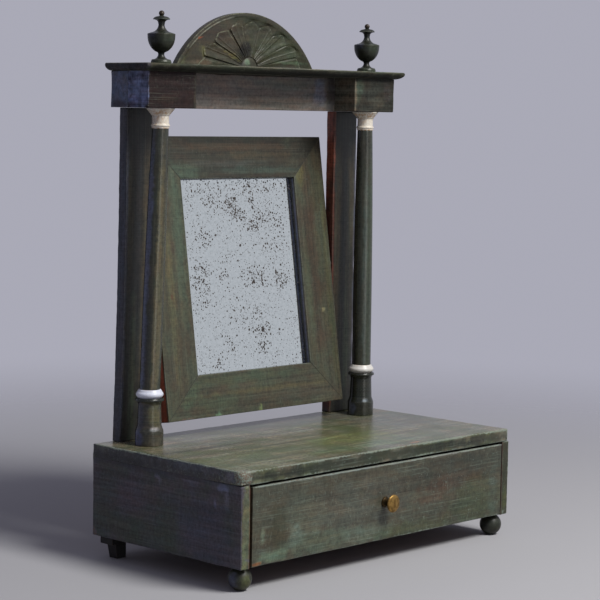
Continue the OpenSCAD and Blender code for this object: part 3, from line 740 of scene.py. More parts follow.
def foxed_silver():
    """Cells of three sizes each hold one speck, whose radius grows with a random pick and with the damp."""
    material, tree, shader = new_material("foxed silvering")
    sheet = carried(tree, "grain", "Vector")
    damp = carried(tree, "bare")
    wander = add(tree, "ShaderNodeTexNoise", {"Vector": sheet, "Scale": 1.1, "Detail": 2.0})
    shaken = vectors(tree, "SUBTRACT", {0: wander.outputs["Color"], 1: (0.5, 0.5, 0.5)})
    shaken = vectors(tree, "SCALE", {0: shaken, "Scale": 0.9})
    shaken = vectors(tree, "ADD", {0: sheet, 1: shaken})
    ragged = maths(tree, "SUBTRACT", noise(tree, sheet, 1.2, 1.0, 3, 0.6), 0.5)
    ragged = maths(tree, "MULTIPLY_ADD", ragged, 1.1, carried(tree, "edge"))
    rotten = ramp(tree, ragged, 0.42, 0.54, 1.0, 0.0)
    for size, (rare, width) in SPECK_SIZES.items():
        cells = add(tree, "ShaderNodeTexVoronoi", {"Vector": shaken, "Scale": 1 / size},
                    voronoi_dimensions="2D")
        pick = add(tree, "ShaderNodeSeparateColor", {0: cells.outputs["Color"]}).outputs[0]
        pick = maths(tree, "ADD", pick, maths(tree, "MULTIPLY", damp, 0.37))
        radius = ramp(tree, pick, rare, 1.2, 0.0, width)
        inside = maths(tree, "DIVIDE", cells.outputs["Distance"], maths(tree, "MAXIMUM", radius, 0.001))
        speck = ramp(tree, inside, 0.75, 1.1, 1.0, 0.0)
        speck = maths(tree, "MULTIPLY", speck, ramp(tree, radius, 0.02, 0.06))
        rotten = maths(tree, "MAXIMUM", rotten, speck)
    haze = ramp(tree, noise(tree, sheet, 3, 1.0, 5, 0.7), 0.35, 0.75)
    silver = mixed(tree, haze, shade(*SILVER), shade(*TARNISH))
    tone = mixed(tree, rotten, silver, mixed(tree, haze, shade(*ROT), shade(*OLD_ROT)))
    tree.links.new(tone, shader.inputs["Base Color"])
    tree.links.new(ramp(tree, rotten, 0.0, 1.0, 1.0, 0.1), shader.inputs["Metallic"])
    tree.links.new(ramp(tree, rotten, 0.0, 1.0, 0.05, 0.35), shader.inputs["Roughness"])
    FINISHES["foxed silvering"] = material


foxed_silver()
print(f"silvering with specks in cells of {sorted(SPECK_SIZES)} mm")

# %% [markdown]
# ## Boards
# The boards were sawn and planed by hand and then knocked about. A bevel modifier would round all their
# edges alike. Instead a board is the skin of a block, cut into a lattice that is close near the arrises
# and wide in the middle of each face. Each point is then pulled towards a smaller block inside, so the
# arrises become round, more where hands have rubbed them, and the faces get the slow waves of a plane.

# %% The lattice of a board
WIDENING = np.array([0.5, 1.2, 2.2, 3.6, 5.4])


def stations(low, high, r, step):
    """Cuts along a side: even turns inside the rounding, then wider and wider, then step apart."""
    rounding = r * np.tan(np.linspace(0, np.pi / 4, 4))
    near = np.concatenate([rounding, r + WIDENING])
    length = high - low
    near = near[near < length / 2 - 0.2]
    middle = length - 2 * near[-1]
    inner = near[-1] + middle * np.linspace(0, 1, max(2, round(middle / step) + 1))
    return low + np.concatenate([near, inner[1:-1], length - near[::-1]])


def quads_of(*grids):
    """Quads from four grids of point numbers, one for each corner."""
    return np.stack(grids, -1).reshape(-1, 4)


def skin(xs, ys, zs):
    """The skin of a block as a lattice: for each axis and end, quads of neighbouring cuts."""
    cuts = (xs, ys, zs)
    counts = [len(c) for c in cuts]
    sides = []
    for axis in range(3):
        for end in (0, counts[axis] - 1):
            index = [np.arange(n) for n in counts]
            index[axis] = np.array([end])
            grid = np.ravel_multi_index(np.meshgrid(*index, indexing="ij"), counts)
            grid = np.squeeze(grid, axis)
            sides.append(quads_of(grid[:-1, :-1], grid[1:, :-1], grid[1:, 1:], grid[:-1, 1:]))
    used, quads = np.unique(np.concatenate(sides), return_inverse=True)
    place = np.unravel_index(used, counts)
    points = np.stack([cut[i] for cut, i in zip(cuts, place)], -1)
    return points, quads.reshape(-1, 4)


print(f"a side of 20 mm is cut at {np.round(stations(0, 20, 1.2, 3.0), 1).tolist()}")


# %% The worn shape of a board
def rounded(points, low, high, r, axes=(0, 1, 2)):
    """Pulls points round a block r smaller: the offset from it keeps its largest part as its length."""
    axes = list(axes)
    r = np.broadcast_to(np.asarray(r, float), len(points))[:, None]
    core = np.clip(points[:, axes], low[axes] + r, high[axes] - r)
    away = points[:, axes] - core
    length = np.maximum(np.linalg.norm(away, axis=1, keepdims=True), 1e-9)
    result = points.copy()
    result[:, axes] = core + away / length * np.abs(away).max(1, keepdims=True)
    return result, away / length


def board_shape(low, high, along, r=1.2, step=3.0, seed=1, worn=None, waviness=0.12, kept=(), brush=1.0):
    """A board between two corners in mm. worn adds to the rounding, and in the kept blobs the arrises stay
    sharp. The grain runs along one axis, or level round the board where along is None. brush is how broad
    its marks are."""
    low, high = np.asarray(low, float), np.asarray(high, float)
    points, quads = skin(*(stations(low[a], high[a], r, step) for a in range(3)))
    from_faces = np.hstack([points - low, high - points])
    edge = np.partition(from_faces, 1, axis=1)[:, 1]
    radius = r * (1 + 0.4 * waves(points, 28, seed) + 0.25 * waves(points, 9, seed + 1))
    for centre, radii in kept:
        spared = blob(points, centre, radii)
        edge = edge + 9 * spared
        radius = radius * (1 - 0.85 * spared)
    if worn is not None:
        radius = radius + worn(points)
    radius = np.clip(radius, 0.15 * r, (high - low).min() / 2 - 0.05)
    if along is None:
        grain = np.stack([points[:, 0] + points[:, 1], points[:, 2], 0 * edge], 1)
    else:
        grain = points[:, [along, *(a for a in range(3) if a != along)]]
    grain = grain / np.array([1, brush, brush])
    soft, normal = rounded(points, low, high, radius)
    soft = soft - normal * (waviness * (0.5 + 0.5 * waves(points, 55, seed + 2))).clip(0)[:, None]
    return {"points": soft, "faces": quads.tolist(), "edge": edge, "grain": grain}


print(f"a board of 20 by 20 by 10 mm has {len(board_shape((0, 0, 0), (20, 20, 10), 0)['points'])} points")


# %% A board in its place
def board(node, finish, slot, along, body="stand", box=None, r=1.2, step=3.0, worn=None, patches=(),
          chips=(), kept=(), brush=1.0, bend=None):
    """Replaces a packed board by a worn one in its place, or between the two corners of box."""
    low, high = box if box is not None else corners(node)
    seed = zlib.crc32(node.encode()) % 1000
    shape = board_shape(low, high, along, r, step, seed, worn, kept=kept, brush=brush)
    return piece(node + "_worn", shape, body, slot, finish, [node], patches, chips, bend=bend)


print("boards take their place from the packed model")

# %% [markdown]
# ## The box
# The top is the face that was leaned on and wiped: its front arris is rubbed to pale priming, its left
# front corner is knocked off, and long streaks run along it. The left side faces away from the lamp and
# renders darker; its paint is mixed bluer, a painted blue shade. The inner faces next to the drawer are
# bare and red-brown. Such marks belong to one place each, so they are laid on as soft patches: where,
# how wide, how high, which colour and how strong. A random texture would never put them right.

# %% The top of the box
KNOCK = 3.4
top_low, top_high = corners("base_top")
corner_left = np.array([top_low[0], top_low[1], deck_z - 5])


def corner_wear(points):
    """The left front corner of the top is gone, and the left end of the front arris is rubbed."""
    knocked = KNOCK * blob(points, corner_left, (9, 9, 14), 0.4)
    return knocked + 0.5 * blob(points, corner_left, (60, 5, 8))


on_deck = patches_on(2, deck_z, 5)
on_left_edge = patches_on(0, top_low[0], 3)
board("base_top", "top paint", "green_paint", 0, r=1.3, step=2.6, worn=corner_wear, brush=2.2, patches=[
    ((top_low[0] + 4, top_low[1] + 4, deck_z - 5), (10, 8, 12), (138, 138, 136), 0.6),
    on_deck(-60, -60, 190, 34, (94, 100, 78), 0.4), on_deck(29, -38, 62, 26, (100, 108, 62), 0.6),
    on_deck(10, -80, 90, 12, (98, 114, 88), 0.5), on_deck(156, 8, 60, 50, (88, 90, 86), 0.6),
    on_deck(-120, 10, 70, 5, (62, 58, 58), 0.6), on_deck(-95, 0, 46, 3, (126, 112, 104), 0.6),
    on_deck(-60, 24, 110, 7, (112, 110, 104), 0.5), on_deck(-136, -85, 60, 9, (108, 106, 92), 0.6),
    on_deck(-50, -20, 60, 3.5, (58, 66, 46), 0.5), on_deck(-150, -40, 60, 8, (92, 100, 66), 0.5),
    on_deck(60, 70, 130, 22, (80, 80, 76), 0.5), on_deck(90, 44, 26, 4, (60, 62, 48), 0.7),
    on_deck(53, -99, 9, 3, (140, 96, 76), 0.7), ((-147, 60, deck_z), (20, 18, 2), (126, 108, 92), 0.5),
    ((-147, 92, deck_z), (24, 8, 2), (124, 112, 100), 0.4),
    ((-10, top_low[1], deck_z - 7), (230, 6, 6), (32, 38, 25), 0.9),
    ((160, top_low[1], deck_z - 7), (40, 6, 6), (54, 52, 44), 0.6),
    # The top's left end is painted dark blue like the side below it: painted shade.
    on_left_edge(0, deck_z - 6, 140, 14, (53, 51, 59), 0.95),
    on_left_edge(56, deck_z - 10, 50, 5, (34, 32, 38), 0.8),
    on_left_edge(-50, deck_z - 3, 50, 5, (76, 78, 94), 0.5),
    on_left_edge(-91, deck_z - 6, 12, 6, (92, 94, 108), 0.5)],
    chips=[(corner_left, (13, 10, 14), 1.0), ((-150, top_low[1], deck_z), (24, 4, 4), 0.4),
           ((147, top_high[1], deck_z), (20, 3, 3), 0.4)],
    kept=[((top_low[0], 10, top_low[2]), (8, 110, 6)), ((0, top_high[1], top_low[2]), (300, 6, 6))])
print(f"top: {top_high[0] - top_low[0]:.0f} by {top_high[1] - top_low[1]:.0f} mm")

# %% The sides, the back and the bottom
# Lighter than the bare red-brown inside the right side: painted light in the dark gap beside the drawer.
RED_BROWN_WITH_PAINTED_LIGHT = (120, 62, 46)
left_low, left_high = corners("base_side_left")
on_left = patches_on(0, left_low[0], 4)
board("base_side_left", "shaded side paint", "green_paint", 1, r=1.0, step=2.8, worn=corner_wear, patches=[
    on_left(43, 73, 44, 24, (76, 66, 78), 0.5), on_left(30, 34, 66, 16, (62, 70, 62), 0.6),
    on_left(80, 60, 20, 40, (62, 66, 66), 0.5), on_left(-60, 50, 40, 34, (62, 62, 80), 0.6),
    on_left(7, 93, 4, 2, (106, 110, 134), 0.7), on_left(2, 89, 2, 3, (104, 106, 130), 0.6),
    on_left(-40, 94, 12, 2, (88, 92, 112), 0.5), on_left(-83, 94, 8, 4, (106, 108, 138), 0.6),
    on_left(-72, 78, 1.5, 7, (104, 108, 144), 0.6), on_left(-88, 84, 4, 8, (98, 100, 120), 0.6),
    on_left(20, 98, 90, 3.5, (52, 50, 60), 0.7), ((left_high[0], 0, 60), (1, 200, 80), RED_BROWN_WITH_PAINTED_LIGHT, 1.0),
    ((-189, left_low[1], 60), (5.5, 3, 60), (86, 90, 70), 0.9),
    ((-191, left_low[1], 30), (3, 3, 16), (100, 108, 80), 0.6),
    ((-189, left_low[1], 74), (4, 3, 6), (104, 96, 66), 0.5)],
    chips=[((left_low[0], left_high[1], 27), (7, 9, 6), 0.9), (corner_left, (7, 8, 10), 1.0),
           ((left_low[0], left_low[1], 76), (2.5, 4, 2), 0.7)],
    kept=[((left_low[0], 20, left_high[2]), (8, 120, 6)), ((left_high[0], left_low[1], 60), (3, 6, 90))])

right_low, right_high = corners("base_side_right")
board("base_side_right", "drawer paint", "green_paint", 1, r=1.0, step=3.2, patches=[
    ((right_high[0], 0, 60), (4, 200, 80), (70, 72, 60), 0.5),
    ((right_high[0], 30, 70), (4, 50, 22), (62, 58, 50), 0.5),
    ((190, right_low[1], 60), (6, 3, 60), (47, 48, 33), 0.95),
    ((190, right_low[1], 40), (4, 3, 12), (76, 80, 46), 0.6),
    ((right_low[0], 0, 60), (1, 200, 80), (60, 36, 30), 1.0)],
    kept=[((right_low[0], right_low[1], 60), (3, 6, 90))])
board("base_back", "carcass wood", "carcass_wood", 0, r=0.6, step=4.0)
board("base_bottom", "carcass wood", "carcass_wood", 0, r=0.6, step=5.0)
print(f"box: {piece_count} boards")

# %% [markdown]
# ## The drawer
# The drawer front is the best-lit board. It has a pale rubbed upper arris, a brown patch right of
# the knob, minty smears at the left, and small scratches. Behind it the drawer is plain softwood, which
# only shows when it is pulled out. All its boards ride on the drawer's body, so one joint moves them.

# %% The drawer
front_low, front_high = corners("drawer_front")
FACE = front_low[1]
on_face = patches_on(1, FACE, 5)
board("drawer_front", "drawer paint", "green_paint", 0, "drawer", r=1.1, step=2.4, patches=[
    on_face(-63, 58, 70, 30, (80, 80, 73), 0.5), on_face(0, 66, 40, 24, (76, 74, 67), 0.5),
    on_face(110, 80, 90, 20, (48, 48, 42), 0.6), on_face(90, 64, 40, 6, (70, 54, 42), 0.75),
    on_face(110, 72, 42, 5, (70, 57, 46), 0.6), on_face(70, 54, 34, 5, (80, 64, 52), 0.55),
    on_face(148, 66, 30, 7, (84, 70, 46), 0.4), on_face(140, 42, 44, 22, (60, 70, 49), 0.6),
    on_face(166, 80, 30, 12, (60, 62, 53), 0.6), on_face(-147, 53, 12, 30, (54, 54, 38), 0.6),
    on_face(-112, 60, 26, 26, (82, 86, 72), 0.4), on_face(-153, 29, 20, 6, (102, 124, 106), 0.6),
    on_face(-123, 44, 10, 12, (104, 118, 108), 0.5), on_face(-167, 51, 3, 8, (112, 128, 112), 0.6),
    on_face(-90, 34, 50, 12, (86, 98, 82), 0.5), on_face(-20, 32, 40, 9, (90, 104, 94), 0.5),
    on_face(-173, 25, 6, 1.8, (130, 84, 50), 0.9), on_face(40, 28, 60, 8, (66, 76, 52), 0.5),
    on_face(170, 50, 8, 30, (72, 82, 74), 0.5),
    ((0, FACE, front_high[2]), (260, 4, 1.4), (128, 134, 136), 0.8)],
    chips=[((-110, FACE, front_high[2]), (60, 3, 1.4), 0.5),
           ((60, FACE, front_high[2]), (40, 3, 1.2), 0.4)],
    kept=[((front_low[0], FACE, 60), (4, 6, 90)), ((front_high[0], FACE, 50), (4, 6, 90))])
for node in ("drawer_side_left", "drawer_side_right"):
    board(node, "drawer wood", "drawer_wood", 1, "drawer", r=0.6, step=4.0)
board("drawer_back", "drawer wood", "drawer_wood", 0, "drawer", r=0.6, step=4.0)
board("drawer_bottom", "drawer wood", "drawer_wood", 0, "drawer", r=0.4, step=5.0)
print(f"drawer: {piece_count} boards so far")

# %% [markdown]
# ## Posts and head
# Flat posts stand at the back. Above them lies the frieze: a beam with a block at each end, over the
# columns. The left block is the oddest thing to see: its front is a warm purple brown and its
# side navy, with a dark triangle at the lower rear. The piece has also moved with age: at the deck the
# left column stands a centimetre further out than at the head, and the post behind it about half as
# much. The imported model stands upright. A lattice modifier could bend these pieces, but one formula on
# their points is shorter, and it runs after their colours are laid, so that marks go with the wood.

# %% The posts
POST_SPREAD = {"left": 6.0, "right": 0.0}
COLUMN_SPREAD = {"left": 10.3, "right": -1.5}


def spread(points, by, low, high, power):
    """Moves points left by (1 − s)^power · by, where s goes from 0 at low to 1 at high."""
    s = np.clip((points[:, 2] - low) / (high - low), 0, 1)
    points[:, 0] -= by * (1 - s) ** power


for node, side in (("post_left", -1), ("post_right", 1)):
    low, high = corners(node)
    low[2], high[2] = deck_z, head_z
    inner = low[0] if side > 0 else high[0]
    outer = high[0] if side > 0 else low[0]
    on_post = patches_on(1, low[1], 5)
    board(node, "post paint", "green_paint", 2, box=(low, high), r=1.0, step=3.0, patches=[
        ((inner, 94, 275), (3, 20, 260), (82, 44, 36), 1.0),
        ((inner, 94, 420), (3, 20, 60), (140, 78, 62), 0.8),
        ((outer, 94, 275), (3, 20, 260), (66, 67, 82), 0.8),
        # Painted shadow of the column and the head down the left post's front.
        on_post(-150, 280, 18, 220, (36, 33, 35), 0.45),
        on_post(side * 138, 280, 6, 160, (68, 60, 46), 0.7),
        on_post(side * 152, 180, 5, 80, (60, 68, 52), 0.6),
        on_post(side * 158, 330, 4, 60, (66, 60, 44), 0.5),
        on_post(side * 148, 300, 4, 120, (44, 43, 48), 0.4),
        # Painted shadow under the head blocks at the top of both posts.
        on_post(side * 147, 420, 20, 40, (32, 29, 31), 0.6)],
        bend=lambda points, by=POST_SPREAD[node[5:]]: spread(points, by, deck_z, head_z, 2))
print(f"posts: spread by {POST_SPREAD} mm at the deck")

# %% The head
beam_low, beam_high = corners("frieze_beam")
on_beam = patches_on(1, beam_low[1], 5)
unrubbed = [((s * 130, 60, z), (70, 60, 8)) for s in (-1, 1) for z in (head_z, beam_high[2])]
board("frieze_beam", "head paint", "green_paint", 0, r=1.0, step=2.8, patches=[
    # The first patch lightens the whole front: painted light where the cornice's shadow falls.
    on_beam(0, 455, 150, 50, (114, 104, 99), 0.8), on_beam(-60, 455, 40, 16, (118, 102, 96), 0.5),
    on_beam(-106, 456, 8, 13, (104, 104, 112), 0.5), on_beam(20, 446, 60, 8, (88, 78, 66), 0.5),
    # The bluish patch at 90 mm is a painted sheen next to the right block.
    on_beam(40, 464, 50, 6, (74, 78, 66), 0.5), on_beam(90, 457, 10, 16, (106, 111, 132), 0.65),
    # The dark patch at 108 mm is painted shade in the corner beside the right block.
    on_beam(108, 455, 7, 30, (52, 50, 54), 0.7),
    ((beam_low[0], 87, 455), (3, 20, 30), (82, 88, 114), 1.0),
    ((beam_low[0], 88, 441), (3, 12, 5), (42, 34, 48), 0.9)],
    kept=[*unrubbed, ((beam_low[0], beam_low[1], 455), (8, 8, 60))])

block_low, block_high = corners("frieze_block_left")
on_block = patches_on(1, block_low[1], 5)
on_navy_end = patches_on(0, block_low[0] - 2, 3)
board("frieze_block_left", "block paint", "green_paint", None, r=0.9, step=2.2, patches=[
    on_block(-145, 455, 60, 40, (38, 28, 29), 0.9), on_block(-150, 446, 16, 3, (56, 46, 40), 0.5),
    on_block(-135, 462, 16, 3, (44, 36, 38), 0.5), on_navy_end(60, 455, 40, 40, (112, 119, 152), 1.0),
    on_navy_end(60, 446, 30, 5, (126, 134, 184), 0.6), on_navy_end(68, 441, 12, 3, (44, 38, 56), 0.7),
    ((block_high[0], 60, 455), (3, 40, 40), (58, 56, 50), 0.6)],
    chips=[((-176, block_low[1], 440), (2, 3, 2), 0.5)], kept=[((-145, 60, 455), (60, 40, 40))])
board("frieze_block_right", "block paint", "green_paint", None, r=0.9, step=2.2, patches=[
    on_block(145, 455, 60, 40, (47, 46, 42), 0.95), on_block(120, 462, 8, 14, (66, 76, 66), 0.6),
    on_block(150, 448, 12, 6, (70, 66, 58), 0.6), on_block(165, 460, 6, 12, (56, 50, 50), 0.6),
    # Its left face lies in shade and is painted much lighter: painted light.
    ((114, 60, 455), (3, 40, 40), (94, 88, 78), 0.95)],
    kept=[((145, 60, 471), (60, 40, 8)), ((115, 66, 455), (6, 14, 40))])
print(f"head: {piece_count} boards so far")

# %% The cornice
CORNICE_SWEEP = 9.5
CORNICE_NOSE = 1.8
CORNICE_R = 1.2


def cornice_shape():
    """A board lattice drawn in at each height z: by a quarter ellipse below, and a quarter round above."""
    low, high = corners("cornice")
    thick = high[2] - low[2]
    upright = thick - CORNICE_NOSE
    sweep = upright * (1 - np.cos(np.linspace(0, np.pi / 2, 12)))
    nose = upright + CORNICE_NOSE * np.sin(np.linspace(0, np.pi / 2, 7))[1:]
    zs = low[2] + np.concatenate([sweep, nose])
    xs, ys = stations(low[0], high[0], CORNICE_R, 3.0), stations(low[1], high[1], CORNICE_R, 2.6)
    points, quads = skin(xs, ys, zs)
    edge = np.partition(np.hstack([points - low, high - points]), 1, axis=1)[:, 1]
    up = points[:, 2] - low[2]
    below = CORNICE_SWEEP * (1 - np.sqrt(1 - np.clip(1 - up / upright, 0, 1) ** 2))
    above = CORNICE_NOSE * (1 - np.sqrt(1 - np.clip((up - upright) / CORNICE_NOSE, 0, 1) ** 2))
    draw = below + above + 0.1 * (1 + waves(points, 40, 7))
    grain = points.copy()
    points = rounded(points, low, high, CORNICE_R, axes=(0, 1))[0]
    points[:, 0] *= 1 - draw / high[0]
    points[:, 1] = back_y - (back_y - points[:, 1]) * (1 - draw / (back_y - low[1]))
    return {"points": points, "faces": quads.tolist(), "edge": edge, "grain": grain}


cornice_low = corners("cornice")[0]
piece("cornice_worn", cornice_shape(), "stand", "green_paint", "cornice paint", ["cornice"], patches=[
    # A dark band along the cove under the nose: painted shade.
    ((0, cornice_low[1] + 4, 476), (220, 14, 4.4), (24, 23, 19), 0.95),
    ((-80, cornice_low[1], 477), (60, 4, 4), (38, 42, 31), 0.5),
    ((10, cornice_low[1] + 1, crown_z), (120, 3, 0.7), (132, 128, 120), 0.8),
    ((150, cornice_low[1] + 1, crown_z), (40, 3, 1.0), (104, 112, 100), 0.6),
    ((-184, 70, 477), (6, 60, 8), (62, 60, 68), 0.8),
    ((0, 70, crown_z), (200, 40, 2), (80, 84, 70), 0.4)],
    chips=[((0, cornice_low[1] + 0.5, crown_z), (70, 2, 1.2), 0.45)])
print("cornice: swept below, rounded above")

# %% [markdown]
# ## Turned work
# Everything round on this piece came off a lathe, and a lathe is a formula: a profile of radius against
# height, carried round an axis. A screw modifier does the same, but it can't tell how far a point is
# from the nearest sharp turn. Here the corners of each profile are softened first, as a turner's
# sandpaper does, and the distance to the sharp ones is kept for the wear.

# %% Drawing a profile
def arc(centre, radii, start, end, steps=12):
    """Points centre + radii · (cos a, sin a) for a from start to end degrees."""
    angles = np.radians(np.linspace(start, end, steps + 1))
    return np.stack([centre[0] + radii[0] * np.cos(angles), centre[1] + radii[1] * np.sin(angles)], 1)


def outline(*parts):
    """Joins points and arcs into one line, without points that repeat."""
    line = np.concatenate([np.atleast_2d(np.asarray(part, float)) for part in parts])
    step = np.linalg.norm(np.diff(line, axis=0), axis=1)
    return line[np.concatenate([[True], step > 1e-6])]


print(f"a quarter round has {len(arc((0, 0), (1, 1), 0, 90))} points")


# %% Softening a profile
def bends(line):
    """Directions before and after each point of a closed line, and the sine of the turn between them."""
    before = line - np.roll(line, 1, 0)
    after = np.roll(line, -1, 0) - line
    sizes = [np.maximum(np.linalg.norm(v, axis=1, keepdims=True), 1e-9) for v in (before, after)]
    before, after = before / sizes[0], after / sizes[1]
    turn = before[:, 0] * after[:, 1] - before[:, 1] * after[:, 0]
    return before, after, np.minimum(*sizes)[:, 0], turn


def softened(line, r, closed):
    """Each real corner becomes a quadratic curve from r before it to r after it."""
    before, after, room, turn = bends(line)
    sharp = np.abs(turn) > 0.3
    if not closed:
        sharp[[0, -1]] = False
    cut = (np.minimum(r, 0.42 * room) * sharp)[:, None, None]
    t = np.linspace(0, 1, 5)[None, :, None]
    curve = line[:, None] - before[:, None] * cut * (1 - t) ** 2 + after[:, None] * cut * t ** 2
    keep = np.ones(curve.shape[:2], bool)
    keep[~sharp, 1:] = False
    return curve[keep]


def divided(line, step, closed):
    """Puts further points on the line so that no stretch is longer than step."""
    ends = np.roll(line, -1, 0) if closed else line[1:]
    starts = line if closed else line[:-1]
    parts = []
    for a, b in zip(starts, ends):
        count = max(1, math.ceil(np.linalg.norm(b - a) / step))
        parts.append(a + (b - a) * np.linspace(0, 1, count, endpoint=False)[:, None])
    return np.concatenate(parts if closed else [*parts, line[-1:]])


print(f"a line of 4 mm cut at 1.6 mm has {len(divided(np.array([[0.0, 0], [0, 4]]), 1.6, False))} points")

# %% Carrying it round
TURNS = 96


def turned_shape(profile, centre, bottom, closed=False, soft=0.5, step=1.6):
    """Carries (radius, height) round an upright axis: x = r cos a, y = r sin a. Ends at r = 0 are poles."""
    turn = bends(profile)[-1]
    crests = profile[(turn > 0.3) & (profile[:, 0] > 1)]
    line = divided(softened(profile, soft, closed), step, closed)
    rings = line if closed else line[1:-1]
    angles = np.linspace(0, 2 * np.pi, TURNS, endpoint=False)
    round_x, round_y = np.outer(rings[:, 0], np.cos(angles)), np.outer(rings[:, 0], np.sin(angles))
    up = np.repeat(rings[:, 1:], TURNS, 1)
    points = np.stack([round_x, round_y, up], -1).reshape(-1, 3)
    number = np.arange(len(points)).reshape(len(rings), TURNS)
    upper = np.roll(number, -1, 0) if closed else number[1:]
    lower = number if closed else number[:-1]
    faces = quads_of(lower, np.roll(lower, -1, 1), np.roll(upper, -1, 1), upper).tolist()
    to_crest = np.linalg.norm(rings[:, None] - crests[None], axis=2).min(1, initial=9)
    edge = np.repeat(to_crest, TURNS)
    if not closed:
        poles = np.array([[0, 0, line[0, 1]], [0, 0, line[-1, 1]]])
        first, last = len(points), len(points) + 1
        points = np.concatenate([points, poles])
        edge = np.concatenate([edge, [9.0, 9.0]])
        beside = np.roll(number, -1, 1)
        faces += [[first, b, a] for a, b in zip(number[0].tolist(), beside[0].tolist())]
        faces += [[last, a, b] for a, b in zip(number[-1].tolist(), beside[-1].tolist())]
    grain = np.stack([0.4 * points[:, 0], points[:, 2], np.hypot(points[:, 0], points[:, 1])], 1)
    return {"points": points + np.array([*centre, bottom]), "faces": faces, "edge": edge, "grain": grain}


def on_column(side):
    """The axis of a column, from its ring."""
    low, high = corners("ring_" + side)
    return (low[:2] + high[:2]) / 2


print(f"turned shapes have {TURNS} faces round")

# %% [markdown]
# ## Columns
# Each column is five turnings on one tenon: pedestal, alabaster ring, tapering shaft, alabaster
# capital, and on top of the head an urn. The pedestal catches the light on its bevel, so its paint
# is the glossiest on the piece. Each profile is written down from the foot upwards, with straight
# stretches as points and every bead or hollow as a piece of an ellipse, as a turner would mark it on
# a stick.

# %% Profiles from the deck to the shaft
TENON_R = 4.0
HOLE_R = TENON_R + 0.1
PEDESTAL_RIM_R = 14.0
DRUM_R, DRUM_H = 13.8, 14.2
WAIST_R = 11.2
NECK_R = 8.2
SHAFT_FOOT_R, SHAFT_TOP_R = 10.1, 8.0


def pedestal_profile(height, rim):
    """A drum, a bevel, a waist that flares in a quarter ellipse, and a thin rim."""
    cove = height * 0.85
    return outline([[0, 0], [DRUM_R, 0], [DRUM_R, DRUM_H], [WAIST_R + 0.7, DRUM_H + 5.3]],
                   arc((rim, cove), (rim - WAIST_R, height - 2.5 - cove), 180, 90),
                   [[rim, height - 0.8], [rim - 0.6, height], [0, height]])


def ring_profile(height, r):
    """A fat bead, widest below its middle, that slopes up to a collar, round the tenon's hole."""
    collar = SHAFT_FOOT_R + 0.8
    bead = 0.42 * height
    return outline([[HOLE_R, 0], [r - 0.6 * bead, 0]],
                   arc((r - bead, bead), (bead, bead * 0.92), -58, 50),
                   [[collar, height], [HOLE_R, height]])


def shaft_profile(length, below, above):
    """Radius foot + (top − foot) · s³ along the shaft, with a tenon at each end."""
    s = np.linspace(0, 1, 60)
    swell = np.stack([SHAFT_FOOT_R + (SHAFT_TOP_R - SHAFT_FOOT_R) * s ** 3, length * s], 1)
    return outline([[0, -below], [TENON_R, -below], [TENON_R, 0]], swell,
                   [[TENON_R, length], [TENON_R, length + above], [0, length + above]])


print("profiles of pedestal, ring and shaft")

# %% Profiles of the capital and the urn
DOWEL_R = 2.5


def capital_profile(height, lip):
    """A small bead, a neck, and a cone with a small step below it up to the lip."""
    return outline([[HOLE_R, 0], [NECK_R + 0.3, 0], [NECK_R + 0.3, 1.6], [NECK_R + 1, 2.2],
                    [NECK_R + 1, 3.4], [NECK_R + 0.3, 4.1], [NECK_R, 5], [NECK_R, height * 0.62],
                    [NECK_R + 1.1, height * 0.67], [NECK_R + 1.3, height * 0.70],
                    [lip - 0.5, height * 0.94], [lip, height * 0.96], [lip, height],
                    [HOLE_R, height]])


def urn_profile(r, h, dowel_r, dowel_h):
    """A foot, a stem, a half-egg bowl with a crisp rim, a hollow neck, a domed cap and a ball."""
    ball = h * 0.054
    return outline([[0, -dowel_h], [dowel_r, -dowel_h], [dowel_r, 0], [r * 0.74, 0], [r * 0.75, h * 0.03],
                    [r * 0.69, h * 0.07]],
                   arc((r * 0.62, h * 0.18), (r * 0.4, h * 0.1), 270, 180),
                   arc((0, h * 0.51), (r * 0.99, h * 0.31), 285, 360, 20),
                   [[r, h * 0.53], [r, h * 0.562]],
                   arc((r * 0.8, h * 0.74), (r * 0.58, h * 0.155), 262, 184, 16),
                   arc((r * 0.62, h * 0.77), (r * 0.37, h * 0.06), 175, 92, 8),
                   [[r * 0.62, h * 0.842]],
                   arc((r * 0.12, h * 0.838), (r * 0.47, h * 0.055), 12, 74, 8),
                   arc((0, h - ball), (ball, ball), -50, 90, 12))


print("profiles of capital and urn")


# %% Tones and painted light round the columns
def around(axis, angle, r, z, across, up, colour, strength):
    """A patch on a turning of that radius, so many degrees to the left of straight in front."""
    turn = math.radians(angle)
    centre = axis[0] - r * math.sin(turn), axis[1] - r * math.cos(turn), z
    return centre, (across, across, up), colour, strength


# The first row of each pedestal is its own tone. The rest is painted light: bluish painted reflections
# of the room on the left side, lighter bands towards the lamp, and painted highlights on the bevel.
PEDESTAL_TONE_AND_PAINTED_LIGHT = {
    "left": [(0, 0, 20, 40, 40, (64, 60, 54), 0.7), (100, 12, 26, 6, 26, (56, 56, 74), 0.7),
             (12, 12, 30, 7, 12, (90, 87, 60), 0.7), (10, 13, 7, 9, 7, (82, 77, 66), 0.6),
             (20, 13, 16.5, 5, 2, (172, 172, 178), 0.7), (98, 13, 7, 7, 9, (78, 82, 122), 0.8)],
    "right": [(0, 0, 20, 40, 40, (30, 31, 25), 0.8), (84, 13, 7, 4, 6, (66, 74, 92), 0.7),
              (25, 13, 16.5, 4, 2, (150, 158, 170), 0.6), (25, 13, 8, 3.5, 8, (58, 61, 56), 0.4)]}
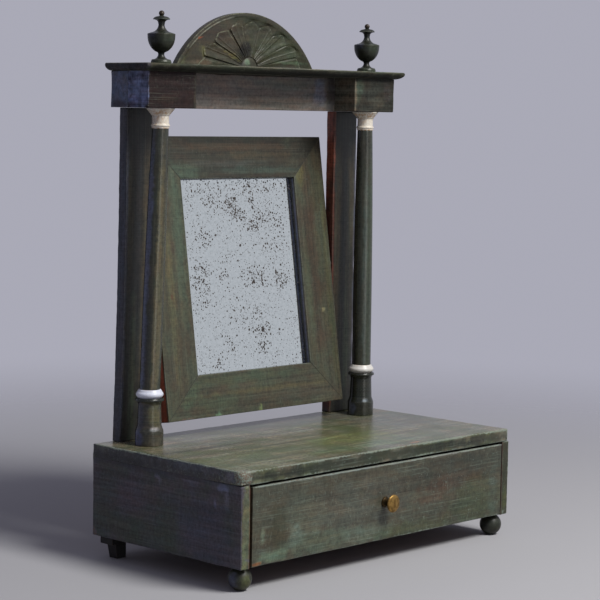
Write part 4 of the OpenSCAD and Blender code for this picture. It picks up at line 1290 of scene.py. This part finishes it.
# On the left shaft the olive stripe at 14 degrees is painted light and the bluish one at 98 degrees a
# painted reflection; on the right shaft the pale stripe at 33 degrees is a painted highlight. Rest: tone.
SHAFT_TONE_AND_PAINTED_LIGHT = {
    "left": [(14, 10, 250, 5, 170, (92, 84, 62), 0.75), (98, 10, 290, 5, 170, (80, 84, 110), 0.8),
             (60, 10, 230, 4, 80, (40, 36, 34), 0.5), (-15, 10, 330, 4, 120, (62, 60, 40), 0.5)],
    "right": [(115, 10, 270, 7, 220, (26, 26, 20), 0.7), (55, 10, 280, 5, 170, (44, 46, 36), 0.5),
              (33, 10, 270, 3, 150, (72, 80, 76), 0.5), (-4, 10, 250, 5, 170, (52, 62, 48), 0.6)]}
RING_CAST = {"left": (214, 222, 248), "right": (206, 204, 200)}
CAPITAL_CAST = (206, 198, 178)
print(f"marks: {len(PEDESTAL_TONE_AND_PAINTED_LIGHT['left'])} on the left pedestal, {len(SHAFT_TONE_AND_PAINTED_LIGHT['left'])} on its shaft")


# %% The columns
def turning(node, shape, finish, **look):
    """Replaces a packed turning of the stand by a shape, of alabaster or painted."""
    slot = "alabaster" if finish == "alabaster" else "green_paint"
    piece(node + "_turned", shape, "stand", slot, finish, [node], **look)


def make_column(side):
    """One column with its urn. The shaft leans outwards to its foot, and what is below goes with it."""
    axis = on_column(side)
    ring_low, ring_high = corners("ring_" + side)
    cap_low, cap_high = corners("capital_" + side)
    urn_low, urn_high = corners("urn_" + side)
    shaft_low, shaft_high = corners("shaft_" + side)

    def bend(points):
        spread(points, COLUMN_SPREAD[side], ring_high[2], cap_low[2], 1)

    profile = pedestal_profile(ring_low[2] - deck_z, PEDESTAL_RIM_R)
    casts = [around(axis, angle, r, deck_z + up, *rest) for angle, r, up, *rest in PEDESTAL_TONE_AND_PAINTED_LIGHT[side]]
    turning("pedestal_" + side, turned_shape(profile, axis, deck_z), "turned paint", bend=bend,
            # The band under the ring is dark rim paint and painted shade under the ring.
            patches=[*casts, ((*axis, ring_low[2] - 0.5), (30, 30, 2.6), (22, 25, 18), 0.95)])
    profile = ring_profile(ring_high[2] - ring_low[2], ring_high[0] - axis[0])
    turning("ring_" + side, turned_shape(profile, axis, ring_low[2], True), "alabaster", bend=bend,
            patches=[((*axis, ring_low[2] + 4), (40, 40, 20), RING_CAST[side], 0.6)],
            chips=[((*(axis + (4, -13)), ring_low[2]), (9, 4, 1), 0.3),
                   ((*(axis + (-9, -9)), ring_high[2]), (8, 8, 1.2), 0.3)])
    profile = shaft_profile(cap_low[2] - ring_high[2], ring_high[2] - shaft_low[2],
                            shaft_high[2] - cap_low[2])
    shaft = turned_shape(profile, axis, ring_high[2])
    shaft["grain"] = shaft["points"][:, [2, 0, 1]]
    casts = [around(axis, *rest) for rest in SHAFT_TONE_AND_PAINTED_LIGHT[side]]
    turning("shaft_" + side, shaft, "turned paint", bend=bend,
            patches=[*casts, ((*axis, 405), (20, 20, 24), (50, 48, 44), 0.4)])
    profile = capital_profile(cap_high[2] - cap_low[2], cap_high[0] - axis[0])
    capital = turned_shape(profile, axis, cap_low[2], True, soft=0.35, step=1.0)
    turning("capital_" + side, capital, "alabaster",
            patches=[((*axis, cap_low[2] + 9), (40, 40, 30), CAPITAL_CAST, 0.5)],
            chips=[((*axis, cap_low[2] + 0.4), (30, 30, 0.8), 0.9),
                   ((*axis, cap_low[2] + 16), (18, 18, 3.2), 0.8),
                   # This rust-brown spot on the capital's left is painted shade.
                   ((*(axis + (-10, -4)), cap_low[2] + 12), (9, 9, 9), 0.5),
                   ((*axis, cap_low[2] + 10), (40, 40, 40), 0.16)])
    profile = urn_profile(urn_high[0] - axis[0], urn_high[2] - crown_z, DOWEL_R, crown_z - urn_low[2])
    urn = turned_shape(profile, axis, crown_z, soft=0.6, step=1.0)
    turning("urn_" + side, urn, "urn paint", patches=[
        ((*axis, urn_high[2]), (12, 12, 4), (70, 50, 38), 0.5),
        ((*axis, crown_z), (30, 30, 3), (50, 60, 42), 0.5),
        # A bluish painted highlight on the urn's left.
        around(axis, 90, 14, crown_z + 32, 6, 8, (52, 54, 74), 0.6),
        around(axis, 10, 14, crown_z + 24, 8, 10, (38, 46, 32), 0.5)])


for side in ("left", "right"):
    make_column(side)
print(f"columns: {piece_count} pieces so far")

# %% [markdown]
# ## Feet and knob
# Balls in front, which were turned and glued on. Square stepped blocks stand behind, where nobody looked.
# A block is two boards, joined into one mesh and drawn in towards the floor. The knob is a brass
# mushroom on a waisted stem, turned upright like the rest and then laid on its side.

# %% The ball feet
# On the left ball: a bluish painted reflection on its shaded side, painted light on its lit front.
# On the right ball both are dark tones.
BALL_PAINTED_SHADE_AND_LIGHT = {"left": ((66, 68, 92), (84, 88, 58)), "right": ((30, 31, 28), (36, 38, 28))}
for side, (shaded, lit) in BALL_PAINTED_SHADE_AND_LIGHT.items():
    node = "foot_front_" + side
    low, high = corners(node)
    axis, tall = (low[:2] + high[:2]) / 2, high[2] - low[2]
    radii = (high[0] - low[0]) / 2, tall / 2 + 0.25
    ball = outline([[0, 0]], arc((0, tall / 2), radii, -78, 78, 30), [[0, tall]])
    ball[:, 1] = np.clip(ball[:, 1], 0, tall)
    shape = turned_shape(ball, axis, low[2], soft=0.4, step=1.2)
    shape["edge"] = shape["edge"] + 2
    turning(node, shape, "foot paint", patches=[
        around(axis, 90, 11, 12, 6, 9, shaded, 0.7), around(axis, 10, 11, 9, 6, 8, lit, 0.7)])
print(f"ball feet: {tall:.1f} mm high")

# %% The back feet
PLATE_T = 8.0
STEP_IN = 4.0
TAPER = 2.0
for side, sign in (("left", -1), ("right", 1)):
    node = "foot_back_" + side
    low, high = corners(node)
    plate = board_shape((low[0], low[1], high[2] - PLATE_T), high, 0, r=0.6, seed=3)
    small_low, small_high = low.copy(), high.copy()
    small_high[1] -= STEP_IN + 1
    small_low[0] += STEP_IN * (sign < 0)
    small_high[0] -= STEP_IN * (sign > 0)
    small_high[2] -= PLATE_T - 0.5
    block = board_shape(small_low, small_high, 2, r=0.6, seed=4)
    across, deep, up = ((block["points"] - small_low) / (small_high - small_low)).T
    down = 1 - up
    across = across if sign > 0 else 1 - across
    block["points"][:, 0] -= sign * TAPER * down * across
    block["points"][:, 1] -= TAPER * down * deep
    both = {key: np.concatenate([plate[key], block[key]]) for key in ("points", "edge", "grain")}
    both["faces"] = plate["faces"] + (np.array(block["faces"]) + len(plate["points"])).tolist()
    piece(node + "_worn", both, "stand", "dark_paint", "black stain", [node])
print(f"feet: {piece_count} pieces so far")

# %% The knob
KNOB_HEAD_T = 3.0
KNOB_CROWN = 1.8
knob_low, knob_high = corners("drawer_knob")
knob_reach = FACE - knob_low[1]
knob_r = (knob_high[0] - knob_low[0]) / 2
knob_middle = (knob_low + knob_high) / 2


def knob_profile(reach, r):
    """A base, a waisted stem in half an ellipse, a flared head with a crowned face, and a shank behind."""
    head = reach - KNOB_HEAD_T
    base, stem = r * 0.6, r * 0.36
    shank = knob_high[1] - FACE
    return outline([[0, -shank], [2, -shank], [2, 0], [base, 0], [base, 0.8]],
                   arc((base, head / 2 + 0.4), (base - stem, head / 2 - 0.4), 270, 90, 16),
                   [[r - 0.6, head], [r - 0.2, head + 0.5], [r - 0.2, reach - KNOB_CROWN]],
                   arc((0, reach - KNOB_CROWN), (r - 0.4, KNOB_CROWN), 0, 90, 14))


knob = turned_shape(knob_profile(knob_reach, knob_r), (0, 0), 0, soft=0.4, step=0.9)
hollow = smooth(knob["points"][:, 2], knob_reach - 3.2, knob_reach - 4.6)
x, y, z = knob["points"].T
knob["points"] = np.stack([x, -z, y], 1) + np.array([knob_middle[0], FACE, knob_middle[2]])
piece("drawer_knob_turned", knob, "drawer", "brass", "brass", ["drawer_knob"], bare=0.85 * hollow)
print(f"knob: stands out {knob_reach:.1f} mm")

# %% [markdown]
# ## The carved pediment
# A carver sets out half a daisy with dividers: nine petals on an ellipse round a half-round boss. Each
# petal is hollowed with a gouge, so its two edges stand up as thin ridges beside a deep V, and its
# tip stands proud of the sunk ground. A height map on a flat board would need a very fine grid to keep
# those ridges. Polar coordinates follow the chisel: spokes and rings, close where the cuts are steep.

# %% Setting out the daisy
SPOKE_STEP = 0.6
REACH = 77.0, 46.0
BOSS = 11.3, 7.6
BOSS_OFF = 5.0
RIM_W = 4.0
CARVE = 2.4
LIFT = 3.4
EDGES = np.array([-10, 12.4, 34.8, 57.7, 79.1, 99.6, 117.8, 145.5, 170.4, 194])
PEAKS = np.array([0.98, 0.94, 0.93, 0.945, 0.965, 0.95, 0.90, 0.91, 1.02])
VALLEYS = np.array([0.98, 0.89, 0.805, 0.766, 0.825, 0.84, 0.828, 0.783, 0.846, 1.0])
LEANS = np.array([-0.2, 0.19, 0.2, 0.08, -0.16, -0.35, 0, 0.02, 0.1])
CUTS = np.array([0.9, 0.75, 0.7, 0.5, 0.5, 0.65, 0.9, 0.97, 0.95, 0.9])
RIBS = np.array([0.1, -0.2, 0.3, -0.3, 0.5, 0.0, 0.3, -0.1, 0.2])
BOSS_RINGS = np.array([0.25, 0.5, 0.7, 0.85, 0.95, 1.0, 1.03])[None]
PETAL_RINGS = np.concatenate([np.linspace(0, 0.9, 30), [0.94, 0.97, 0.985, 1.0]])[None]
GROUND_RINGS = np.array([0.0, 0.15, 0.4, 0.7, 1.0])[None]

ped_low, ped_high = corners("pediment")
ped_half, ped_rise, ped_thick = ped_high[0], ped_high[2] - ped_low[2], ped_high[1] - ped_low[1]
arch_r = (ped_half ** 2 + ped_rise ** 2) / (2 * ped_rise)
sunk = arch_r - ped_rise
turn = np.arange(0, 180 + SPOKE_STEP / 2, SPOKE_STEP)[:, None]
swing = np.radians(turn)
way = np.arctan2(REACH[1] * np.sin(swing), REACH[0] * np.cos(swing))
petal = np.searchsorted(EDGES, turn, side="right") - 1
across = 2 * (turn - EDGES[petal]) / (EDGES[petal + 1] - EDGES[petal]) - 1
print(f"pediment: arch of radius {arch_r:.1f} mm, {len(turn)} spokes")


# %% The petals
def arch(r):
    """How far from the boss each spoke meets the arch's circle of radius r."""
    lean = BOSS_OFF * np.cos(way) + sunk * np.sin(way)
    return np.sqrt(lean ** 2 + r * r - BOSS_OFF ** 2 - sunk ** 2) - lean


def petal_tips():
    """Peak + (valley − peak) · (0.8 f + 0.2 f³), where f goes from the peak to the nearer valley."""
    lean, left = LEANS[petal], across > LEANS[petal]
    fall = np.where(left, (across - lean) / (1 - lean), (lean - across) / (1 + lean))
    end = VALLEYS[petal + left]
    size = np.hypot(REACH[0] * np.cos(swing), REACH[1] * np.sin(swing))
    return size * (PEAKS[petal] + (end - PEAKS[petal]) * (0.8 * fall + 0.2 * fall ** 3))


def petal_depth(along):
    """A gouged hollow with faint ribs, deeper at the boss, a raised tip, and a V between two petals."""
    wide = np.abs(across)
    rib = np.exp(-((across - RIBS[petal]) / 0.09) ** 2)
    ribs = 0.05 * np.sin(across * (4 + petal % 3) + petal) - 0.13 * rib
    dish = 0.22 + 0.26 * (1 - wide ** 2) + ribs
    hollow = dish + (0.2 + 0.25 * smooth(turn, 60, 100)) * (1 - smooth(PETAL_RINGS, 0, 0.45))
    hollow = hollow - 0.2 * smooth(PETAL_RINGS, 0.84, 0.95)
    groove = smooth(wide, 0.83, 0.97)
    cut = CUTS[petal + (across > 0)] * (1 - 0.25 * PETAL_RINGS)
    depth = CARVE * (hollow * (1 - groove) + cut * groove)
    cuts = np.stack([along * np.cos(way), along * np.sin(way), 0 * along], -1).reshape(-1, 3)
    depth = depth + (0.14 * waves(cuts, 9, 21) + 0.08 * waves(cuts, 3.5, 22)).reshape(depth.shape)
    return np.maximum(depth, 0.05)


print(f"petals reach {petal_tips().min():.0f} to {petal_tips().max():.0f} mm from the boss's middle")


# %% The rings
def carving_rings():
    """Radius, depth and distance to an arris of each ring, from the boss to the rim and to the back."""
    tip, inside, edge = petal_tips(), arch(arch_r - RIM_W), arch(arch_r)
    boss = 1 / np.hypot(np.cos(way) / BOSS[0], np.sin(way) / BOSS[1])
    dome = CARVE * (0.1 + 0.8 * np.minimum(BOSS_RINGS, 1) ** 2.5) + 0 * way
    along = boss + 0.6 + (tip - boss - 0.6) * PETAL_RINGS
    ridge = np.minimum(19 * np.abs(np.abs(across) - 0.80), 0.7 + 22 * np.abs(across - RIBS[petal]))
    ridge = ridge + 1.6 * (1 - smooth(turn, 60, 95)) + 1.2 * (1 - smooth(PETAL_RINGS, 0.1, 0.35))
    ridge[:, -3:] = 0.6 - 0.3 * smooth(turn, 90, 130)
    step = 0.4 - 0.28 * (1 - smooth(turn, 80, 120))
    ground = tip + 0.5 + (inside - 1.6 - tip) * GROUND_RINGS
    fall = 0.5 + 0.4 * (1 - smooth(turn, 80, 112))
    floor = CARVE * (fall + (step - fall) * GROUND_RINGS)
    yield boss * BOSS_RINGS, dome, 4 + 0 * dome
    yield along, petal_depth(along), ridge
    yield ground, floor, 5 + 0 * floor
    for beyond, deep in ((-0.5, 0.85), (0, 0.3), (0.8, 0)):
        yield inside + beyond, CARVE * step * deep, 1.2 + 0 * way
    for k in (0.4, 0.65):
        yield inside + RIM_W * k, 0 * way, 2 + 0 * way
    for back, deep, near in ((1, 0, 0.6), (0.35, 0.12, 0.4), (0.08, 0.45, 0.1), (0, 0.9, 0.4), (0, 3, 3),
                             (0, 5, 5), (0.1, ped_thick - 0.4, 0.6), (0.5, ped_thick, 1)):
        yield edge - back, deep + 0 * way, near + 0 * way
    for share in (0.8, 0.5, 0.2):
        yield edge * share, ped_thick + 0 * way, 5 + 0 * way


print(f"carving: {sum(part[0].shape[1] for part in carving_rings())} rings")


# %% The carved shape
def pediment_shape():
    """Stands the rings up from the foot, lifts the daisy by LIFT, and closes boss, back and foot. Also
    tells how deep each point lies."""
    radius, depth, edge = (np.hstack(part) for part in zip(*carving_rings()))
    points = np.stack([radius * np.cos(way), depth, radius * np.sin(way)], -1).reshape(-1, 3)
    number = np.arange(len(points)).reshape(radius.shape)
    hub, hub_back = len(points), len(points) + 1
    points = np.concatenate([points, [[0, CARVE * 0.1, 0], [0, ped_thick, 0]]])
    faces = quads_of(number[:-1, :-1], number[:-1, 1:], number[1:, 1:], number[1:, :-1]).tolist()
    faces += [[hub, b, a] for a, b in zip(number[:-1, 0].tolist(), number[1:, 0].tolist())]
    faces += [[hub_back, b, a] for a, b in zip(number[1:, -1].tolist(), number[:-1, -1].tolist())]
    faces += [[hub, *number[0].tolist(), hub_back], [hub_back, *number[-1, ::-1].tolist(), hub]]
    deep = np.append((depth / CARVE * (radius < arch(arch_r - RIM_W))).ravel(), [0, 0])
    from_sunk = np.hypot(points[:, 0] + BOSS_OFF, points[:, 2] + sunk)
    lift = LIFT * smooth(points[:, 2], 0, 9) * (1 - smooth(from_sunk, arch_r - RIM_W - 7, arch_r - RIM_W))
    points[:, 2] += lift * (points[:, 1] < CARVE + 1)
    points = points + np.array([BOSS_OFF, ped_low[1], ped_low[2]])
    return {"points": points, "faces": faces, "edge": np.append(edge.ravel(), [3, 9]),
            "grain": points[:, [0, 2, 1]]}, deep


shape, deep = pediment_shape()
print(f"pediment: {len(PEAKS)} petals, {len(shape['points'])} points")


# %% Its colours
SHADE_IN_CUTS, OLD_RIM, WORN_LINE, RED_NICK = (31, 28, 23), (47, 43, 33), (140, 140, 130), (146, 82, 56)


def on_carving(x, z, rx, rz, colour, strength):
    """A patch on the carved face, measured from the middle of its foot."""
    return (x, ped_low[1], crown_z + z), (rx, 12, rz), colour, strength


cast = tinted(shape["points"], [
    on_carving(-40, 30, 50, 22, (62, 53, 42), 0.5), on_carving(-52, 38, 24, 13, (47, 38, 33), 0.7),
    on_carving(50, 22, 45, 22, (55, 62, 45), 0.5), on_carving(-90, 6, 6, 5, (92, 96, 74), 0.6),
    on_carving(-61, 15, 2.6, 5, (108, 104, 64), 0.5),
    *(on_carving(-29 + 7 * i, 16 - 3 * i, 6, 1.3, (106, 103, 62), 0.4) for i in range(4)),
    on_carving(66, 7, 24, 2, (88, 104, 84), 0.5), on_carving(58, 26, 12, 2, (80, 90, 70), 0.4),
    # Painted shadow in the hollow just above the boss.
    on_carving(BOSS_OFF - 7, 17, 9, 9, (16, 13, 11), 0.95),
    # A painted highlight on the boss.
    on_carving(BOSS_OFF - 4, 6.5, 4, 3.5, (104, 126, 104), 0.7),
    on_carving(-60, 4, 22, 2.4, (96, 84, 72), 0.5)])
from_arch = np.hypot(shape["points"][:, 0], shape["points"][:, 2] - crown_z + sunk)
leftward = np.degrees(np.arctan2(-shape["points"][:, 0], shape["points"][:, 2] - crown_z + sunk))
worn_line = (1 - smooth(np.abs(from_arch - arch_r + RIM_W - 0.4), 0.5, 1.1)) * smooth(leftward, 9, 14)
worn_line = worn_line * (1 - smooth(leftward, 43, 48)) * smooth(waves(shape["points"], 13, 31), -1.3, -0.3)
nick = blob(shape["points"], (-67, ped_low[1], crown_z + 28), (1.9, 12, 1.4))
# The deepest cuts are darkened: painted shade in the recesses.
cast = laid_over(cast, 0.85 * smooth(deep, 0.66, 0.92), SHADE_IN_CUTS)
cast = laid_over(cast, 0.7 * smooth(from_arch, arch_r - RIM_W, arch_r - RIM_W + 1), OLD_RIM)
cast = laid_over(cast, 0.85 * worn_line, WORN_LINE)
cast = laid_over(cast, nick, RED_NICK)
piece("pediment_carved", shape, "stand", "green_paint", "carving paint", ["pediment"], cast=cast)
print(f"carving: {np.mean(deep > 0.66):.0%} of its points lie in dark cuts")

# %% [markdown]
# ## The mirror frame
# Four members meet in mitres. Each is an L: a lip that shows, and wood behind it, outside the rebate that
# holds the glass. Four boards could be cut with booleans, which leave ragged faces at the joint. Here
# the section is carried along the member between its two mitre planes, which take the same length away
# at each distance from the outer edge, so every face is a clean quad up to the mitre.

# %% How the mirror hangs
TILT = math.radians(8.5)
MIRROR_W, MIRROR_H = 253.0, 284.0
STILE_W, RAIL_W = 44.8, 43.2
FRAME_T, LIP_T, LAP = 13.0, 6.5, 5.0
PIVOT_UP = 6.0
pivot = np.array(frame["joints"][1]["pos_m"]) / MM


def hung(points):
    """Turns points of the upright mirror back by its lean, about its pivots."""
    x, y, z = points.T
    return pivot + np.stack([x, y * math.cos(TILT) + z * math.sin(TILT),
                             z * math.cos(TILT) - y * math.sin(TILT)], 1)


print(f"mirror: {MIRROR_W:.0f} by {MIRROR_H:.0f} mm, leaning {math.degrees(TILT):.1f} degrees")

# %% The sweep of a member
END_ZONE, CUT_STEP = 7, 2.8
NEAR_MITRE = np.array([0, 0.25, 0.7, 1.4, 2.6, 4.5])


def member_shape(length, wide, other, along, inward, centre):
    """An L section, u from the outer edge and v into the thickness, swept along
    t · (length/2 − u · other/wide). Also tells how far each point is from its mitre."""
    section = outline([[0, 0], [wide, 0], [wide, LIP_T], [wide - LAP, LIP_T], [wide - LAP, FRAME_T],
                       [0, FRAME_T], [0, 0.001]])
    line = divided(softened(section[:-1], 0.9, True), 2.6, True)
    arrises = np.array([[0, 0], [wide, 0], [wide, LIP_T], [0, FRAME_T]])
    to_arris = np.linalg.norm(line[:, None] - arrises[None], axis=2).min(1)
    count = round((length / 2 - END_ZONE) / CUT_STEP)
    inner = np.linspace(END_ZONE, length / 2, count)[:-1]
    from_end = np.concatenate([NEAR_MITRE, inner, [length / 2]])
    u, v = np.repeat(line[:, :1], len(from_end), 1), np.repeat(line[:, 1:], len(from_end), 1)
    half = length / 2 - u * other / wide
    fall = from_end[None] * half / (length / 2)
    pinch = 0.1 * (1 - smooth(from_end, 0, 0.8))[None]
    u = u + pinch * np.clip(1 - 2 * u / wide, -1, 1)
    v = v + pinch * np.clip(1 - 2 * v / FRAME_T, -1, 1)
    far = half - fall
    u2, v2 = np.hstack([u, u[:, -2::-1]]), np.hstack([v, v[:, -2::-1]])
    t2 = np.hstack([far, -far[:, -2::-1]])
    to_mitre = np.hstack([fall, fall[:, -2::-1]])
    flat = np.stack([t2.ravel(), u2.ravel(), v2.ravel()], 1)
    local = centre + flat[:, :1] * along + flat[:, 1:2] * inward + flat[:, 2:] * np.array([0, 1, 0])
    number = np.arange(len(flat)).reshape(t2.shape)
    beside = np.roll(number, -1, 0)
    faces = quads_of(number[:, :-1], number[:, 1:], beside[:, 1:], beside[:, :-1]).tolist()
    faces += [number[:, 0].tolist(), number[::-1, -1].tolist()]
    edge = np.repeat(to_arris, t2.shape[1])
    return {"points": local, "faces": faces, "edge": edge, "grain": flat}, to_mitre.ravel()


print(f"members are cut every {CUT_STEP} mm, and closer within {END_ZONE} mm of a mitre")

# %% A painted member
# The left stile's outer side is much lighter than RED_SIDE: painted light on a face in shade.
RED_SIDE, RED_SIDE_WITH_PAINTED_LIGHT, BLUE_SIGHT, CONTACT_SHADOW = (66, 36, 30), (168, 84, 62), (78, 87, 116), (10, 10, 14)
MITRE_LINE, BARE_BACK = (36, 34, 27), (100, 74, 54)


def make_member(name, length, wide, other, along, inward, patches, chips=(), side=RED_SIDE):
    """One member: painted face, red-brown outer side, blue at the glass with a painted shadow, bare behind.
    """
    along, inward = np.array(along, float), np.array(inward, float)
    outer = -inward * np.array([MIRROR_W / 2, 0, MIRROR_H / 2])
    centre = outer + np.array([0, -FRAME_T / 2, -PIVOT_UP])
    shape, to_mitre = member_shape(length, wide, other, along, inward, centre)
    local = shape["points"]
    cast = tinted(local, patches)
    from_face, from_outside = local[:, 1] + FRAME_T / 2, shape["grain"][:, 1]
    joint = 0.7 * (1 - smooth(to_mitre, 0.25, 0.9))
    sides = 0.9 * smooth(from_face, 0.8, 1.6)
    sight = sides * smooth(from_outside, wide - 2, wide - 0.8) * (1 - smooth(from_face, LIP_T - 0.4, LIP_T))
    # A black line where the lip meets the glass: a painted contact shadow.
    corner = sight * smooth(from_face, LIP_T - 2.0, LIP_T - 1.2)
    behind = smooth(from_face, FRAME_T - 1.4, FRAME_T - 0.4)
    for cover, colour in ((sides, side), (sight, BLUE_SIGHT), (corner, CONTACT_SHADOW),
                          (joint, MITRE_LINE), (behind, BARE_BACK)):
        cast = laid_over(cast, cover, colour)
    shape["points"] = hung(local)
    piece(name + "_mitred", shape, "mirror", "green_paint", "frame paint", [name], cast=cast,
          bare=chipped(local, chips))


print("a member is red-brown on its outer side and blue where it meets the glass")

# %% The four members
F = -FRAME_T / 2
on_frame = patches_on(1, F, 4)
make_member("mirror_top_rail", MIRROR_W, RAIL_W, STILE_W, (1, 0, 0), (0, 0, -1), [
    on_frame(0, 115, 150, 40, (36, 32, 27), 0.75), on_frame(0, 125, 90, 5, (70, 56, 42), 0.6),
    on_frame(30, 117, 60, 4, (70, 62, 46), 0.5), on_frame(-82, 100, 26, 12, (66, 80, 66), 0.6),
    on_frame(30, 101, 70, 4, (58, 70, 62), 0.6), on_frame(-20, 108, 60, 2.5, (74, 74, 70), 0.4),
    on_frame(112, 126, 18, 16, (36, 34, 26), 0.8)])
make_member("mirror_bottom_rail", MIRROR_W, RAIL_W, STILE_W, (1, 0, 0), (0, 0, 1), [
    on_frame(-20, -112, 90, 6, (60, 70, 54), 0.6), on_frame(-60, -134, 40, 8, (66, 76, 58), 0.5),
    on_frame(20, -126, 90, 3, (84, 80, 56), 0.5), on_frame(100, -108, 8, 4, (104, 98, 58), 0.6),
    on_frame(60, -136, 50, 6, (66, 60, 50), 0.5), on_frame(-95, -120, 14, 14, (74, 92, 72), 0.4),
    on_frame(-58, -147, 4, 2.2, (112, 144, 116), 0.95), on_frame(2, -145, 2, 4, (128, 138, 92), 0.9)],
    chips=[((-100, F, -148), (16, 4, 1.4), 0.8)])
make_member("mirror_stile_left", MIRROR_H, STILE_W, RAIL_W, (0, 0, 1), (1, 0, 0), [
    on_frame(-92, 40, 8, 90, (66, 80, 66), 0.6), on_frame(-108, -20, 6, 90, (88, 84, 58), 0.5),
    on_frame(-119, 30, 4, 70, (72, 64, 50), 0.5), on_frame(-100, -70, 8, 40, (58, 56, 44), 0.5),
    on_frame(-108, -24, 1.5, 3, (84, 44, 32), 0.7)], side=RED_SIDE_WITH_PAINTED_LIGHT)
make_member("mirror_stile_right", MIRROR_H, STILE_W, RAIL_W, (0, 0, 1), (-1, 0, 0), [
    on_frame(100, 10, 9, 100, (55, 41, 32), 0.7), on_frame(90, -40, 5, 60, (72, 74, 56), 0.5),
    on_frame(120, -20, 4, 120, (64, 66, 46), 0.6), on_frame(108.8, -49.3, 2.2, 2.6, (140, 136, 104), 0.8),
    on_frame(90, 96, 7, 12, (86, 84, 52), 0.6), on_frame(112, 90, 14, 40, (52, 48, 36), 0.5)])
print(f"mirror frame: {piece_count} pieces so far")

# %% [markdown]
# ## The looking glass
# The glass is a plain plate. What matters is the rot behind it, and that is drawn by the finish, so the
# plate stays flat and the room shows in it undisturbed. The mesh only carries how damp each place is,
# and the distance to the blots that stand out, on a lattice of 1 mm that is fine enough for both.

# %% The plates
GLASS_T, BACKING_T, FIT = 2.5, 3.0, 0.1
REBATE_W = MIRROR_W - 2 * STILE_W + 2 * LAP - 2 * FIT
REBATE_H = MIRROR_H - 2 * RAIL_W + 2 * LAP - 2 * FIT


def sheet_shape(front, thick, step):
    """A plate in the rebate, upright, with its front at that depth."""
    low = np.array([-REBATE_W / 2, front, -REBATE_H / 2 - PIVOT_UP])
    high = np.array([REBATE_W / 2, front + thick, REBATE_H / 2 - PIVOT_UP])
    return board_shape(low, high, 0, r=0.2, step=step, seed=9, waviness=0.0)


print(f"rebate: {REBATE_W:.1f} by {REBATE_H:.1f} mm")

# %% Where the silver rots
DAMP = [
    ((-10, 66), (12, 9), 0.9), ((0, 55), (12, 7), 1.0), ((21, 71), (5, 11), 0.9),
    ((20, 44), (12, 6), 0.9), ((31, 52), (9, 7), 0.9), ((-38, 69), (11, 7), 0.7),
    ((-60, 1), (12, 12), 0.55), ((-60, -16), (12, 12), 0.5), ((-58, -33), (9, 6), 0.6),
    ((-53, 33), (12, 10), 0.6), ((-31, -5), (9, 6), 0.6), ((-2, -47), (28, 10), 0.4),
    ((-27, -79), (9, 6), 0.4), ((55, -14), (12, 8), 0.8), ((20, -10), (22, 12), 0.5),
    ((22, -66), (16, 8), 0.6), ((-44, -95), (8, 7), 0.6), ((20, -83), (10, 7), 0.6),
    ((46, 80), (6, 5), 0.5), ((20, 84), (16, 6), 0.5), ((45, 40), (22, 30), 0.35),
    ((0, 85), (80, 12), 0.3)]
BLOTS = [
    ((48, -6), (1.4, 3.2)), ((14.6, -14), (1.3, 2.7)), ((26.2, -12), (0.9, 4.6)), ((27, -17), (1.6, 1.1)),
    ((9.9, -4.5), (1.3, 1.8)), ((21.4, -64.7), (2.2, 3.4)), ((45.9, -66.3), (1.5, 1.4)),
    ((1.6, -63.8), (1.4, 1.2)), ((-44.3, -95), (1.3, 1.4)), ((-34.5, 35.3), (1.5, 1.3)),
    ((-0.5, 23.8), (1.4, 1.4)), ((45.7, 80.4), (1.3, 1.6)), ((20.2, 84.6), (1.4, 1.3)),
    ((20.4, -83.4), (1.2, 1.2)), ((30, -80), (1.3, 1.0)), ((-24, -19), (1.3, 1.0)),
    ((-12, -30), (1.2, 1.2)), ((4, 50), (1.5, 1.2)), ((22, 62), (1.2, 1.6)), ((-38, -68), (1.2, 1.4)),
    ((-17, -69), (1.2, 1.1)), ((56, 1), (1.4, 1.2)), ((-6, 8), (1.3, 1.2))]


def foxing(x, z):
    """How damp each place is, and how far it is from the edge of the nearest blot in units of its size."""
    damp = np.zeros(len(x))
    for (cx, cz), (rx, rz), strength in DAMP:
        away = np.hypot((x - cx) / rx, (z - cz) / rz)
        damp = np.maximum(damp, strength * (1 - smooth(away, 0.5, 1.5)))
    far = np.full(len(x), 4.0)
    for (cx, cz), (rx, rz) in BLOTS:
        far = np.minimum(far, np.hypot((x - cx) / rx, (z - cz) / rz))
    return damp, np.minimum(far, 4.0)


print(f"rot: {len(DAMP)} damp places, {len(BLOTS)} blots")

# %% The looking glass
glass = sheet_shape(F + LIP_T, GLASS_T, 1.0)
damp, blots = foxing(glass["points"][:, 0], glass["points"][:, 2])
glass["grain"] = np.stack([glass["points"][:, 0], glass["points"][:, 2], 0 * damp], 1)
glass["edge"] = np.where(blots < 3.9, blots * 0.5, 2.0)
glass["points"] = hung(glass["points"])
piece("mirror_glass_foxed", glass, "mirror", "mirror", "foxed silvering", ["mirror_glass"], bare=damp)

backing = sheet_shape(F + LIP_T + GLASS_T, BACKING_T, 4.0)
backing["grain"] = backing["points"][:, [2, 0, 1]]
backing["points"] = hung(backing["points"])
piece("mirror_backing_board", backing, "mirror", "backing_wood", "backing wood", ["mirror_backing"])
print(f"glass: {len(glass['points'])} points")

# %% [markdown]
# ## Small metal
# The nut of the knob, the brads behind the glass and the pivot pins are already the right shape in the
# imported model. They could be turned again like the knob, but hardly more than a glint of them is ever
# seen, so they keep their meshes and only get their metal.

# %% Small metal
for node, finish in (("drawer_knob_nut", "brass"), ("mirror_brads", "steel"),
                     ("pivot_pin_left", "steel"), ("pivot_pin_right", "steel")):
    mesh = frame["nodes"][node].data
    mesh.materials.clear()
    mesh.materials.append(FINISHES[finish])
print(f"all: {piece_count} pieces made, 4 nodes kept")
